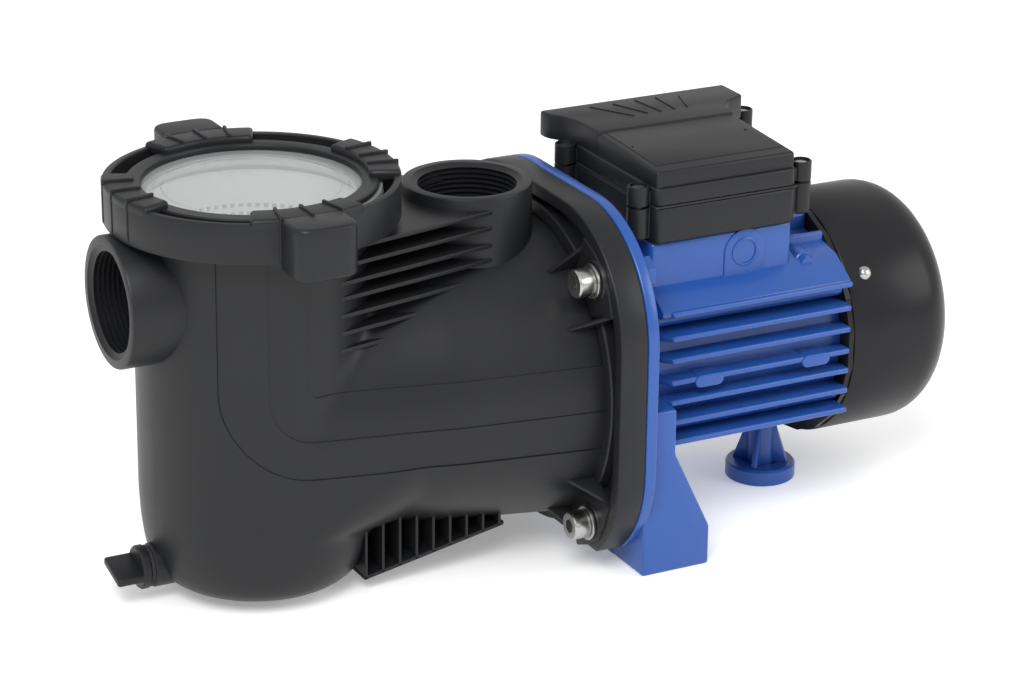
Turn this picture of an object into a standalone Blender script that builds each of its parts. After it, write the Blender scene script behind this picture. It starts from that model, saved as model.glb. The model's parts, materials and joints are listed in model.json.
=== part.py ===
# Pool pump with a strainer pot, a bayonet lid ring and a finned motor.
# Sizes are in millimetres and the meshes are made in metres, with +Z up.
# X runs along the shaft from the suction face (x = 0) to the fan, and y = 0 is the middle plane.
import math

import bmesh
import bpy
from mathutils import Matrix
from mathutils import Vector

for item in list(bpy.data.objects):
    bpy.data.objects.remove(item, do_unlink=True)

MM = 0.001

# Clearances
GAP = 0.3
SLIP = 0.2

# Ports: G 1 1/2 inside thread
PORT_R = 29.5
PORT_BORE_R = 22.6
SUCTION_Z = 143.5
DISCHARGE_X = 173.0
DISCHARGE_TOP = 175.0

# Strainer pot
POT_X = 68.0
POT_R = 53.0
POT_WALL = 4.0
POT_BOTTOM = 4.0
POT_FLOOR = 5.5
COLLAR_R = POT_R + 6.0
COLLAR_TOP = 184.0
COLLAR_LOW = COLLAR_TOP - 9.5

# Flange
FLANGE_FRONT = 209.0
FLANGE_REAR = 220.0
FLANGE_HALF = 86.0
FLANGE_CORNER = 57.0
FLANGE_FLAT = 11.0
BOLT_Y = FLANGE_HALF - 24.0
BOLT_Z = FLANGE_HALF - 27.5
BOLT_R = 4.0
BOLT_HEAD_R = 6.5
BOLT_HEAD = 8.0
WASHER_R = 8.0
WASHER = 1.4
BOSS_FACE = 204.6
BOSS_R = 11.0

# Volute barrel and chamber
AXIS_Z = 83.0
BARREL_X = 64.0
BARREL_INSET = (35.0, 32.0, 26.0, 21.0, 18.0, 14.0)
BARREL_R = tuple(FLANGE_HALF - inset for inset in BARREL_INSET)
BARREL_AT = (64.0, 80.0, 115.0, 140.0, 172.0, 205.0)
BELLY_X = 125.0
BELLY_R = FLANGE_HALF - 24.2
CHAMBER_X = 141.0
CHAMBER_FRONT_R = FLANGE_HALF - 25.0
CHAMBER_REAR_R = CHAMBER_FRONT_R + 4.0
EYE_R = 19.0

# Body ribs
RIB = 2.0
SIDE_RIBS = (122.0, 130.0, 138.0, 146.0, 153.0, 161.0, 168.5)
FOOT_RIB_X = 104.5
FOOT_RIB_PITCH = 8.4
FOOT_RIBS = 9
FOOT_RIB_HALF = 38.0
FOOT_RIB_RISE = 0.2

# Lid and locking ring
LID_R = COLLAR_R - 1.7
LID = 3.2
RING_R = COLLAR_R + 6.2
RING_TOP = COLLAR_TOP + 7.3
RING_LOW = COLLAR_TOP - 10.5
RING_OPEN_R = POT_R - 5.0
RING_LIP = 3.4
GRIP_RISE = 3.2
GRIP_HALF_DEG = 25.0
HANDLE_R = RING_R + 17.8
HANDLE_WIDTH = 29.0
HANDLE_LOW = RING_LOW - 3.5
HANDLE_TOP = RING_TOP + 2.2

# Drain plug
DRAIN_Z = 16.0
DRAIN_R = 6.0
DRAIN_HEAD_R = 10.0
DRAIN_BOSS_X = POT_X - POT_R
DRAIN_BOSS = 23.0
DRAIN_SEAL = 1.5
DRAIN_HEAD = 4.0
WING_TIP = DRAIN_BOSS_X - 18.0
WING_WIDTH = 19.0
WING = 4.0
WING_TILT = 14.0

# Shaft, bearings and seal
SHAFT_R = 7.2
SHAFT_END_R = 6.0
SHAFT_TIP = 185.5
SHAFT_TAIL = 378.0
SHAFT_STEP = 224.0
SHAFT_REAR_STEP = 352.0
BEARING_R = 17.5
BEARING = 10.5
FRONT_BEARING_X = 232.0
REAR_BEARING_X = 334.0
SEAL_R = 13.0
SEAL_SEAT = 6.5

# Impeller and diffuser
IMPELLER_REAR = 211.0
IMPELLER_FRONT = 192.0
DIFFUSER_R = CHAMBER_FRONT_R - 3.5
IMPELLER_R = DIFFUSER_R - 12.5
DIFFUSER_FRONT = 176.0
DIFFUSER_WALL = 2.5

# Motor flange and legs
MOTOR_FLANGE = 5.7
LEG_IN = 45.0
LEG_OUT = 79.0
LEG_FRONT = 224.0
LEG_REAR = 259.0
LEG_TOP = 80.0

# Motor housing
HOUSING_END = 344.7
CORE_R = 50.0
BORE_R = 44.0
FIN_FRONT = 243.0
FIN_TIP = 59.0
FIN = 3.0
SIDE_FINS = (53.7, 63.6, 73.5, 83.3, 94.0, 104.7, 116.5)
TOP_FINS = ((14.0, 138.0), (30.0, 134.0))
PAD_FRONT = 243.7
PAD_REAR = 318.6
PAD_HALF = 45.0
PAD_TOP = 147.3
STATOR_FRONT = 262.0
STATOR_REAR = 318.0
ROTOR_R = 26.5
WINDING = 12.0
ROD_R = 3.0
ROD_Y = 47.0
ROD_Z = (58.65, 110.6)

# Rear shield, fan and cover
SHIELD_R = 58.0
SHIELD = 2.7
SPIGOT_R = 56.6
SPIGOT_END = 362.0
COVER_R = 58.5
COVER_FRONT = 348.0
COVER_END = 408.0
COVER_ROUND = 20.0
COVER_WALL = 1.5
FAN_R = 50.0
FAN_X = 366.0
COVER_SCREW_X = 358.0
COVER_SCREW_DEG = (25.0, 145.0, 265.0)

# Terminal box
BOX_HALF = 48.0
BOX_WALL = 2.5
BOX_TOP = 164.4
BOX_SEAL = 0.8
LID_SKIRT_TOP = BOX_TOP + 9.4
LID_NEAR_TOP = LID_SKIRT_TOP + 8.0
LID_BACK_TOP = LID_SKIRT_TOP + 11.2
STRIP_FRONT = PAD_FRONT - 7.7
STRIP_REAR = PAD_REAR + 17.4
STRIP_Y = BOX_HALF - 26
EAR_FRONT = PAD_FRONT - 4.7
EAR_REAR = PAD_REAR + 6.4
BOX_SCREWS = ((EAR_FRONT, 8 - BOX_HALF), (EAR_REAR, 8 - BOX_HALF), (EAR_FRONT, BOX_HALF - 19),
              (STRIP_REAR + 6, BOX_HALF - 8))
EAR_R = 5.0
EAR_LOW = BOX_TOP - 8.4
EAR_TOP = LID_SKIRT_TOP - 1.4
SCREW_R = 1.9

# Rear foot
FOOT_X = 335.0
FOOT_R = 17.0
FOOT_DISC = 8.0
FOOT_STEM_R = 9.0
FOOT_BOLT_R = 3.0

ORIGIN_X = (WING_TIP + COVER_END) / 2

PARTS = bpy.data.collections.new("pool_pump")
CUTTERS = bpy.data.collections.new("cutters")
bpy.context.scene.collection.children.link(PARTS)
bpy.context.scene.collection.children.link(CUTTERS)

BLACK = ((0.035, 0.036, 0.040, 1), 0.0, 0.45)
SATIN = ((0.02, 0.02, 0.022, 1), 0.0, 0.35)
BLUE = ((0.03, 0.10, 0.36, 1), 0.0, 0.3)
STEEL = ((0.62, 0.62, 0.60, 1), 1.0, 0.3)
COPPER = ((0.70, 0.33, 0.16, 1), 1.0, 0.4)
WHITE = ((0.80, 0.80, 0.78, 1), 0.0, 0.4)
CLEAR = ((0.85, 0.88, 0.88, 1), 0.0, 0.1)
RUBBER = ((0.015, 0.015, 0.015, 1), 0.0, 0.8)

AXES = {
    "X": Matrix(((0, 0, 1, 0), (0, 1, 0, 0), (-1, 0, 0, 0), (0, 0, 0, 1))),
    "Y": Matrix(((1, 0, 0, 0), (0, 0, 1, 0), (0, -1, 0, 0), (0, 0, 0, 1))),
    "Z": Matrix.Identity(4),
}
PLANES = {
    "X": Matrix(((0, 0, 1, 0), (1, 0, 0, 0), (0, 1, 0, 0), (0, 0, 0, 1))),
    "Y": Matrix(((1, 0, 0, 0), (0, 0, -1, 0), (0, 1, 0, 0), (0, 0, 0, 1))),
    "Z": Matrix.Identity(4),
}


# Shape tools
def weld(mesh):
    bm = bmesh.new()
    bm.from_mesh(mesh)
    bmesh.ops.remove_doubles(bm, verts=bm.verts, dist=0.00001)
    bmesh.ops.recalc_face_normals(bm, faces=bm.faces)
    bm.to_mesh(mesh)
    bm.free()


def plain(obj):
    graph = bpy.context.evaluated_depsgraph_get()
    mesh = bpy.data.meshes.new_from_object(obj.evaluated_get(graph))
    obj.modifiers.clear()
    obj.data = mesh
    weld(mesh)
    return obj


def tool(name, data):
    obj = bpy.data.objects.new(name, data)
    obj.hide_render = True
    obj.display_type = "WIRE"
    CUTTERS.objects.link(obj)
    return obj


def turned(profile, at=(0, 0, 0), axis="Z", steps=26):
    points = [(r * MM, 0, h * MM) for r, h in profile]
    count = len(points)
    edges = [(i, i + 1) for i in range(count - 1)]
    if profile[0][0] > 0:
        edges.append((count - 1, 0))
    mesh = bpy.data.meshes.new("turned")
    mesh.from_pydata(points, edges, [])
    obj = tool("turned", mesh)
    screw = obj.modifiers.new("Screw", "SCREW")
    screw.axis = "Z"
    screw.angle = math.tau
    screw.steps = steps
    screw.render_steps = steps
    screw.use_merge_vertices = True
    screw.merge_threshold = 0.00001
    plain(obj)
    obj.data.transform(Matrix.Translation(Vector(at) * MM) @ AXES[axis])
    return obj


def rod(radius, low, high, at=(0, 0, 0), axis="Z", steps=16):
    return turned([(0, high), (radius, high), (radius, low), (0, low)], at, axis, steps)


def ring(inner, outer, low, high, at=(0, 0, 0), axis="Z", steps=26):
    return turned([(outer, high), (outer, low), (inner, low), (inner, high)], at, axis, steps)


def slab(outline, low, high, axis="Z"):
    curve = bpy.data.curves.new("outline", "CURVE")
    curve.dimensions = "2D"
    curve.fill_mode = "BOTH"
    curve.extrude = (high - low) / 2 * MM
    spline = curve.splines.new("POLY")
    spline.points.add(len(outline) - 1)
    for point, (a, b) in zip(spline.points, outline):
        point.co = (a * MM, b * MM, 0, 1)
    spline.use_cyclic_u = True
    obj = tool("outline", curve)
    graph = bpy.context.evaluated_depsgraph_get()
    mesh = bpy.data.meshes.new_from_object(obj.evaluated_get(graph))
    bpy.data.objects.remove(obj, do_unlink=True)
    middle = (high + low) / 2 * MM
    if axis == "Y":
        middle = -middle
    mesh.transform(PLANES[axis] @ Matrix.Translation((0, 0, middle)))
    weld(mesh)
    return tool("slab", mesh)


def block(x0, x1, y0, y1, z0, z1):
    bpy.ops.mesh.primitive_cube_add(size=1)
    cube = bpy.context.object
    mesh = cube.data.copy()
    bpy.data.objects.remove(cube, do_unlink=True)
    centre = Vector((x0 + x1, y0 + y1, z0 + z1)) / 2 * MM
    size = Matrix.Diagonal(((x1 - x0) * MM, (y1 - y0) * MM, (z1 - z0) * MM, 1))
    mesh.transform(Matrix.Translation(centre) @ size)
    return tool("block", mesh)


def hull(points):
    bm = bmesh.new()
    for point in points:
        bm.verts.new(Vector(point) * MM)
    spare = bmesh.ops.convex_hull(bm, input=bm.verts)
    bmesh.ops.delete(bm, geom=list(set(spare["geom_interior"] + spare["geom_unused"])), context="VERTS")
    mesh = bpy.data.meshes.new("hull")
    bm.to_mesh(mesh)
    bm.free()
    weld(mesh)
    return tool("hull", mesh)


def spun(obj, degrees, at=(0, 0, 0), axis="Z"):
    pivot = Matrix.Translation(Vector(at) * MM)
    turn = Matrix.Rotation(math.radians(degrees), 4, axis)
    obj.data.transform(pivot @ turn @ pivot.inverted())
    return obj


def combine(base, tools, operation):
    for other in tools:
        step = base.modifiers.new("Boolean", "BOOLEAN")
        step.operation = operation
        step.solver = "EXACT"
        step.object = other
        plain(base)
        bpy.data.objects.remove(other, do_unlink=True)
    return base


def join(base, *tools):
    return combine(base, tools, "UNION")


def cut(base, *tools):
    return combine(base, tools, "DIFFERENCE")


def part(name, obj, look, at=None, parent=None):
    CUTTERS.objects.unlink(obj)
    PARTS.objects.link(obj)
    obj.name = name
    obj.data.name = name
    obj.hide_render = False
    obj.display_type = "TEXTURED"
    material = bpy.data.materials.new(name)
    material.use_nodes = True
    shader = material.node_tree.nodes["Principled BSDF"]
    shader.inputs["Base Color"].default_value = look[0]
    shader.inputs["Metallic"].default_value = look[1]
    shader.inputs["Roughness"].default_value = look[2]
    obj.data.materials.clear()
    obj.data.materials.append(material)
    obj.parent = parent or frame
    if at:
        obj.data.transform(Matrix.Translation(Vector(at) * -MM))
    return obj


def empty(name, at, parent=None):
    obj = bpy.data.objects.new(name, None)
    obj.location = Vector(at) * MM
    obj.parent = parent
    PARTS.objects.link(obj)
    return obj


def rounded(half, corner, flat, pieces=5):
    points = []
    inset = half - corner
    for quarter in range(4):
        sx = (1, -1, -1, 1)[quarter]
        sz = (1, 1, -1, -1)[quarter]
        for step in range(pieces + 1):
            turn = math.radians(90 * quarter + 90 * step / pieces)
            y = sx * inset + corner * math.cos(turn)
            z = AXIS_Z + sz * inset + corner * math.sin(turn)
            points.append((y, max(z, flat)))
    clean = []
    for point in points:
        if point not in clean:
            clean.append(point)
    low = [p for p in clean if p[1] <= flat]
    ends = (min(low), max(low))
    return [p for p in clean if p[1] > flat or p in ends]


# Frames: the origin stands on the floor under the middle of the whole pump
frame = empty("pump_origin", (-ORIGIN_X, 0, 0))
AXIS_AT = (0, 0, AXIS_Z)
POT_AT = (POT_X, 0, 0)
DRAIN_AT = (0, 0, DRAIN_Z)
shaft_axis = empty("shaft_axis", AXIS_AT, frame)
pot_axis = empty("pot_axis", POT_AT, frame)
drain_axis = empty("drain_axis", DRAIN_AT, frame)
BOLTS = [(y, AXIS_Z + z) for y in (-BOLT_Y, BOLT_Y) for z in (BOLT_Z, -BOLT_Z)]
OUTLINE = rounded(FLANGE_HALF, FLANGE_CORNER, FLANGE_FLAT)

# Pump body
pot_side = [(0, COLLAR_TOP), (COLLAR_R, COLLAR_TOP), (COLLAR_R, COLLAR_LOW), (POT_R, COLLAR_LOW - 1.5)]
pot_side += [(POT_R, 47), (POT_R - 0.7, 34), (POT_R - 2, 24), (POT_R - 4, 16), (POT_R - 7, 10)]
pot_side += [(POT_R - 12, 6), (POT_R - 19, POT_BOTTOM + 0.3), (0, POT_BOTTOM)]
body = turned(pot_side, POT_AT)
barrel = [(0, FLANGE_FRONT + 2), (BARREL_R[-1], FLANGE_FRONT + 2)]
barrel += [(r, x) for r, x in zip(reversed(BARREL_R), reversed(BARREL_AT))]
barrel.append((0, BARREL_X))
join(body, turned(barrel, AXIS_AT, "X"))
belly = []
for step in range(24):
    a, b = math.cos(math.tau * step / 24), math.sin(math.tau * step / 24)
    belly.append((POT_X + (POT_R - 1) * a, (POT_R - 1) * b, 34))
    belly.append((POT_X + (POT_R - 0.2) * a, (POT_R - 0.2) * b, AXIS_Z))
    if b < 0.1:
        belly.append((BELLY_X, BELLY_R * a, AXIS_Z + BELLY_R * b))
join(body, hull(belly))
join(body, rod(PORT_R, 0, POT_X, (0, 0, SUCTION_Z), "X", 22))
join(body, rod(PORT_R, AXIS_Z, DISCHARGE_TOP, (DISCHARGE_X, 0, 0), "Z", 24))
join(body, slab(OUTLINE, FLANGE_FRONT, FLANGE_REAR, "X"))
for y, z in BOLTS:
    join(body, rod(BOSS_R, BOSS_FACE, FLANGE_FRONT + 1, (0, y, z), "X", 14))
plate = [(POT_X + 10, -50.5), (POT_X + 21, -48), (DISCHARGE_X - 2, -PORT_R), (DISCHARGE_X - 2, PORT_R)]
plate += [(POT_X + 21, 48), (POT_X + 10, 50.5)]
for z in SIDE_RIBS:
    join(body, slab(plate, z - RIB / 2, z + RIB / 2))
join(body, block(POT_X + 45, DISCHARGE_X - 20, -3, 3, AXIS_Z + 30, SIDE_RIBS[-1] + 0.5))
last = FOOT_RIB_X + FOOT_RIB_PITCH * (FOOT_RIBS - 1)
rise = (last - FOOT_RIB_X) * FOOT_RIB_RISE
slope = [(FOOT_RIB_X - 8, POT_BOTTOM + 0.5), (last + 2, POT_BOTTOM + 2 + rise)]
slope.append((last + 2, POT_BOTTOM + 4 + rise))
join(body, slab(slope + [(FOOT_RIB_X - 8, POT_BOTTOM + 2.5)], 1 - FOOT_RIB_HALF, FOOT_RIB_HALF - 1, "Y"))
for index in range(FOOT_RIBS):
    x = FOOT_RIB_X + index * FOOT_RIB_PITCH
    low = POT_BOTTOM + 2 + (x - FOOT_RIB_X) * FOOT_RIB_RISE
    join(body, block(x - RIB / 2, x + RIB / 2, -FOOT_RIB_HALF, FOOT_RIB_HALF, low, AXIS_Z - 45))
join(body, rod(DRAIN_HEAD_R, DRAIN_BOSS_X, DRAIN_BOSS_X + DRAIN_BOSS, DRAIN_AT, "X", 12))
POT_IN = POT_R - POT_WALL
cavity = [(0, COLLAR_TOP + 5), (POT_IN, COLLAR_TOP + 5), (POT_IN, 47), (POT_IN - 1, 34), (POT_IN - 2.5, 24)]
CAVITY_FLOOR = POT_BOTTOM + POT_FLOOR
cavity += [(POT_IN - 6, 16), (POT_IN - 13, CAVITY_FLOOR + 1), (POT_IN - 15, CAVITY_FLOOR), (0, CAVITY_FLOOR)]
cut(body, turned(cavity, POT_AT))
cut(body, rod(PORT_BORE_R, -2, POT_X, (0, 0, SUCTION_Z), "X", 22))
chamber = [(0, FLANGE_REAR + 2), (CHAMBER_REAR_R, FLANGE_REAR + 2), (CHAMBER_FRONT_R, CHAMBER_X)]
chamber.append((0, CHAMBER_X))
cut(body, turned(chamber, AXIS_AT, "X"))
cut(body, rod(PORT_BORE_R, AXIS_Z, DISCHARGE_TOP + 2, (DISCHARGE_X, 0, 0), "Z", 24))
cut(body, rod(EYE_R, POT_X + 20, CHAMBER_X + 5, AXIS_AT, "X", 22))
cut(body, rod(DRAIN_R + GAP, DRAIN_BOSS_X - 2, DRAIN_BOSS_X + DRAIN_BOSS, DRAIN_AT, "X", 12))
SEAL_IN = POT_R - 0.5
SEAL_OUT = SEAL_IN + 3.0
SEAL_DEEP = 2.2
cut(body, ring(SEAL_IN, SEAL_OUT, COLLAR_TOP - SEAL_DEEP, COLLAR_TOP + 2, POT_AT))
GASKET_IN = CHAMBER_REAR_R + 6
GASKET_OUT = GASKET_IN + 3
cut(body, ring(GASKET_IN, GASKET_OUT, FLANGE_REAR - 2, FLANGE_REAR + 2, AXIS_AT, "X"))
for y, z in BOLTS:
    cut(body, rod(BOLT_R + GAP, BOSS_FACE - 20, FLANGE_REAR + 2, (0, y, z), "X", 12))
part("pump_body", body, BLACK)

# Strainer basket, stood on the pot floor
BASKET_FLOOR = CAVITY_FLOOR + GAP
BASKET_TOP = COLLAR_TOP - 5.5
basket_side = [(POT_IN - GAP, BASKET_TOP), (POT_IN - GAP, BASKET_TOP - 2), (POT_IN - 3.5, BASKET_TOP - 2)]
basket_side += [(POT_IN - 9, 24), (POT_IN - 16, BASKET_FLOOR), (0, BASKET_FLOOR)]
basket = turned([(0, BASKET_TOP)] + basket_side, POT_AT)
inside = [(0, BASKET_TOP + 2), (POT_IN - 5, BASKET_TOP + 2), (POT_IN - 5, BASKET_TOP - 2)]
inside += [(POT_IN - 10.6, 25), (POT_IN - 17, BASKET_FLOOR + 1.8)]
cut(basket, turned(inside + [(0, BASKET_FLOOR + 1.8)], POT_AT))
for index in range(3):
    window = block(-60, 60, -4.5, 4.5, 34, 104)
    spun(window, 30 + 60 * index)
    window.data.transform(Matrix.Translation((POT_X * MM, 0, 0)))
    cut(basket, window)
cut(basket, rod(PORT_BORE_R, 0, POT_X, (0, 0, SUCTION_Z), "X", 22))
part("strainer_basket", basket, WHITE)

# Clear lid and its seal
LID_LOW = COLLAR_TOP + GAP
LID_TOP = LID_LOW + LID
lid_side = [(0, LID_TOP), (LID_R, LID_TOP), (LID_R, LID_LOW), (POT_IN - 0.5, LID_LOW)]
lid_side += [(POT_IN - 0.5, LID_LOW - 3), (POT_IN - 3, LID_LOW - 3), (POT_IN - 3, LID_LOW), (0, LID_LOW)]
part("strainer_lid", turned(lid_side, POT_AT), CLEAR, POT_AT, pot_axis)
seal = ring(SEAL_IN + SLIP, SEAL_OUT - SLIP, COLLAR_TOP - SEAL_DEEP + SLIP, LID_LOW - SLIP, POT_AT)
part("lid_seal", seal, RUBBER, POT_AT, pot_axis)

# Locking ring with ribbed grips and two handle lugs
RING_FACE = LID_TOP + GAP
locking = ring(RING_R - RING_LIP, RING_R, RING_LOW, RING_TOP, POT_AT, "Z", 40)
join(locking, ring(RING_OPEN_R, LID_R - 1.8, RING_FACE, RING_TOP - 1, POT_AT, "Z", 40))
for quarter in range(4):
    arc = []
    for radius, sign in ((RING_R + 0.4, 1), (RING_OPEN_R + 2.5, -1)):
        for step in range(9):
            turn = math.radians(90 * quarter + sign * GRIP_HALF_DEG * (step / 4 - 1))
            arc.append((POT_X + radius * math.cos(turn), radius * math.sin(turn)))
    join(locking, slab(arc, RING_FACE, RING_TOP + GRIP_RISE))
for side in (-1, 1):
    half = HANDLE_WIDTH / 2
    shape = [(-half, RING_R - 2), (half, RING_R - 2), (half, HANDLE_R - 5), (half - 5, HANDLE_R)]
    shape += [(5 - half, HANDLE_R), (-half, HANDLE_R - 5)]
    lug = slab([(POT_X + x * side, y * side) for x, y in shape], HANDLE_LOW, HANDLE_TOP)
    join(locking, lug)
part("lid_ring", locking, BLACK, POT_AT, pot_axis)

# Drain plug and seal
SEAL_X = DRAIN_BOSS_X - SLIP - DRAIN_SEAL
HEAD_X = SEAL_X - SLIP
plug_side = [(0, DRAIN_BOSS_X + 9), (DRAIN_R, DRAIN_BOSS_X + 9), (DRAIN_R, HEAD_X), (DRAIN_HEAD_R, HEAD_X)]
plug_side += [(DRAIN_HEAD_R, HEAD_X - DRAIN_HEAD), (0, HEAD_X - DRAIN_HEAD)]
plug = turned(plug_side, DRAIN_AT, "X", 12)
wing = block(WING_TIP, HEAD_X - 1, -WING_WIDTH / 2, WING_WIDTH / 2, DRAIN_Z - WING / 2, DRAIN_Z + WING / 2)
join(plug, spun(wing, WING_TILT, DRAIN_AT, "X"))
part("drain_plug", plug, BLACK, DRAIN_AT, drain_axis)
washer = ring(DRAIN_R + SLIP, DRAIN_HEAD_R - 0.5, SEAL_X, SEAL_X + DRAIN_SEAL, DRAIN_AT, "X", 12)
part("drain_seal", washer, RUBBER, DRAIN_AT, drain_axis)

# Diffuser, seated on the motor flange
MOTOR_FACE = FLANGE_REAR + GAP
inner = DIFFUSER_R - DIFFUSER_WALL
neck = EYE_R - GAP
diffuser = turned([
    (DIFFUSER_R, MOTOR_FACE - GAP), (DIFFUSER_R, DIFFUSER_FRONT), (neck, DIFFUSER_FRONT),
    (neck, CHAMBER_X - 12), (neck - DIFFUSER_WALL, CHAMBER_X - 12),
    (neck - DIFFUSER_WALL, DIFFUSER_FRONT + DIFFUSER_WALL), (inner, DIFFUSER_FRONT + DIFFUSER_WALL),
    (inner, MOTOR_FACE - GAP)], AXIS_AT, "X", 22)
for index in range(3):
    window = block(195, 207, -70, 70, AXIS_Z - 9, AXIS_Z + 9)
    cut(diffuser, spun(window, 30 + 60 * index, AXIS_AT, "X"))
part("diffuser", diffuser, WHITE)

# Impeller, nut and shaft seal
impeller = rod(IMPELLER_R, IMPELLER_REAR - 3, IMPELLER_REAR, AXIS_AT, "X", 22)
join(impeller, rod(10, IMPELLER_FRONT, IMPELLER_REAR + 1, AXIS_AT, "X", 12))
VANE_TIP = IMPELLER_R - 1.5
VANE = [(7, -1), (25, 6), (VANE_TIP, 9), (VANE_TIP - 0.5, 11), (24, 8.5), (6, 2)]
for index in range(6):
    vane = slab(VANE, IMPELLER_FRONT, IMPELLER_REAR - 1)
    vane.data.transform(Matrix.Translation((0, 0, AXIS_Z * MM)) @ AXES["X"])
    join(impeller, spun(vane, 60 * index, AXIS_AT, "X"))
cut(impeller, rod(SHAFT_END_R + SLIP, IMPELLER_FRONT - 2, IMPELLER_REAR + 4, AXIS_AT, "X"))
part("impeller", impeller, WHITE, AXIS_AT, shaft_axis)
nut = rod(9, SHAFT_TIP - 3, IMPELLER_FRONT - GAP, AXIS_AT, "X", 6)
cut(nut, rod(SHAFT_END_R + SLIP, SHAFT_TIP - GAP, IMPELLER_FRONT + 2, AXIS_AT, "X"))
part("impeller_nut", nut, STEEL, AXIS_AT, shaft_axis)
SEAT_END = MOTOR_FACE + 3.7
SEAT_FRONT = SEAT_END - GAP - SEAL_SEAT
head = ring(SHAFT_END_R + SLIP, SEAL_R - 1, IMPELLER_REAR + 1 + GAP, SEAT_FRONT - SLIP, AXIS_AT, "X", 22)
part("seal_head", head, STEEL, AXIS_AT, shaft_axis)
seat = ring(SHAFT_R + GAP, SEAL_R, SEAT_FRONT, SEAT_END - GAP, AXIS_AT, "X", 22)
part("seal_seat", seat, WHITE)
gasket = ring(GASKET_IN + SLIP, GASKET_OUT - SLIP, FLANGE_REAR - 2 + SLIP, FLANGE_REAR + 0.1, AXIS_AT, "X")
part("flange_gasket", gasket, RUBBER)

# Motor flange with two legs
FLANGE_BACK = MOTOR_FACE + MOTOR_FLANGE
BEARING_WALL = FRONT_BEARING_X - GAP
motor = slab(OUTLINE, MOTOR_FACE, FLANGE_BACK, "X")
join(motor, rod(25, FLANGE_BACK - 1, FRONT_BEARING_X + BEARING + 1, AXIS_AT, "X", 22))
leg = [(LEG_FRONT, 0), (LEG_REAR, 0), (LEG_REAR, 19), (240, 58), (240, LEG_TOP), (LEG_FRONT, LEG_TOP)]
for y0, y1 in ((-LEG_OUT, -LEG_IN), (LEG_IN, LEG_OUT)):
    post = slab(leg, y0, y1, "Y")
    cut(post, rod(CORE_R + GAP, FLANGE_BACK, LEG_REAR + 2, AXIS_AT, "X", 32))
    join(motor, post)
cut(motor, rod(SHAFT_R + 0.5, MOTOR_FACE - 2, FRONT_BEARING_X + 20, AXIS_AT, "X"))
cut(motor, rod(SEAL_R + GAP, MOTOR_FACE - 2, SEAT_END, AXIS_AT, "X", 22))
cut(motor, rod(BEARING_R + SLIP, BEARING_WALL, FRONT_BEARING_X + 20, AXIS_AT, "X", 22))
NUT_X = FLANGE_BACK + GAP
BOLT_END = NUT_X + 8.5
for y, z in BOLTS:
    cut(motor, rod(BOLT_R + GAP, MOTOR_FACE - 2, BOLT_END + 1, (0, y, z), "X", 12))
for y in (-ROD_Y, ROD_Y):
    for z in ROD_Z:
        cut(motor, rod(ROD_R + SLIP, FLANGE_BACK - 3, LEG_REAR, (0, y, z), "X", 12))
part("motor_flange", motor, BLUE)

# Bolts, washers and nuts
WASHER_X = BOSS_FACE - SLIP - WASHER
HEAD_BACK = WASHER_X - SLIP
for index, (y, z) in enumerate(BOLTS, 1):
    at = (0, y, z)
    bolt = turned([(0, BOLT_END), (BOLT_R, BOLT_END), (BOLT_R, HEAD_BACK), (BOLT_HEAD_R, HEAD_BACK),
                   (BOLT_HEAD_R, HEAD_BACK - BOLT_HEAD), (0, HEAD_BACK - BOLT_HEAD)], at, "X", 12)
    cut(bolt, rod(3.46, HEAD_BACK - BOLT_HEAD - 2, HEAD_BACK - 4, at, "X", 6))
    part(f"body_bolt_{index}", bolt, STEEL)
    disc = ring(BOLT_R + GAP, WASHER_R, WASHER_X, WASHER_X + WASHER, at, "X", 14)
    part(f"body_washer_{index}", disc, STEEL)
for index, (y, z) in enumerate([b for b in BOLTS if b[1] > AXIS_Z], 1):
    hexagon = rod(7.5, NUT_X, NUT_X + 6.5, (0, y, z), "X", 6)
    cut(hexagon, rod(BOLT_R + GAP, NUT_X - 2, NUT_X + 9, (0, y, z), "X", 12))
    part(f"body_nut_{index}", hexagon, STEEL)

# Motor housing with side fins, top pad and earth boss
HOUSING_X = FLANGE_BACK + GAP
housing = rod(CORE_R, HOUSING_X, HOUSING_END, AXIS_AT, "X", 22)
for z in SIDE_FINS:
    join(housing, block(FIN_FRONT, HOUSING_END, -FIN_TIP, FIN_TIP, z - FIN / 2, z + FIN / 2))
join(housing, block(PAD_FRONT, PAD_REAR, -PAD_HALF, PAD_HALF, AXIS_Z + 20, PAD_TOP))
for y, top in TOP_FINS:
    for side in (-y, y):
        join(housing, block(PAD_REAR - 1, HOUSING_END, side - FIN / 2, side + FIN / 2, AXIS_Z + 30, top))
EARTH = (327.5, -43.0, 125.0)
join(housing, rod(5.5, EARTH[1], -25, (EARTH[0], 0, EARTH[2]), "Y", 10))
cut(housing, rod(BORE_R, HOUSING_X - 2, HOUSING_END + 2, AXIS_AT, "X", 22))
cut(housing, rod(1.9 + SLIP, EARTH[1] - 2, EARTH[1] + 6, (EARTH[0], 0, EARTH[2]), "Y", 10))
cut(housing, rod(FOOT_BOLT_R + SLIP, 20, AXIS_Z - BORE_R + 3, (FOOT_X, 0, 0), "Z", 10))
for y in (-ROD_Y, ROD_Y):
    for z in ROD_Z:
        cut(housing, rod(ROD_R + GAP, HOUSING_X - 2, HOUSING_END + 2, (0, y, z), "X", 12))
part("motor_housing", housing, BLUE)
earth = turned([(0, EARTH[1] + 5), (1.9, EARTH[1] + 5), (1.9, EARTH[1] - SLIP), (4, EARTH[1] - SLIP),
                (3.4, EARTH[1] - 2.8), (0, EARTH[1] - 2.8)], (EARTH[0], 0, EARTH[2]), "Y", 10)
part("earth_screw", earth, STEEL)

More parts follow.
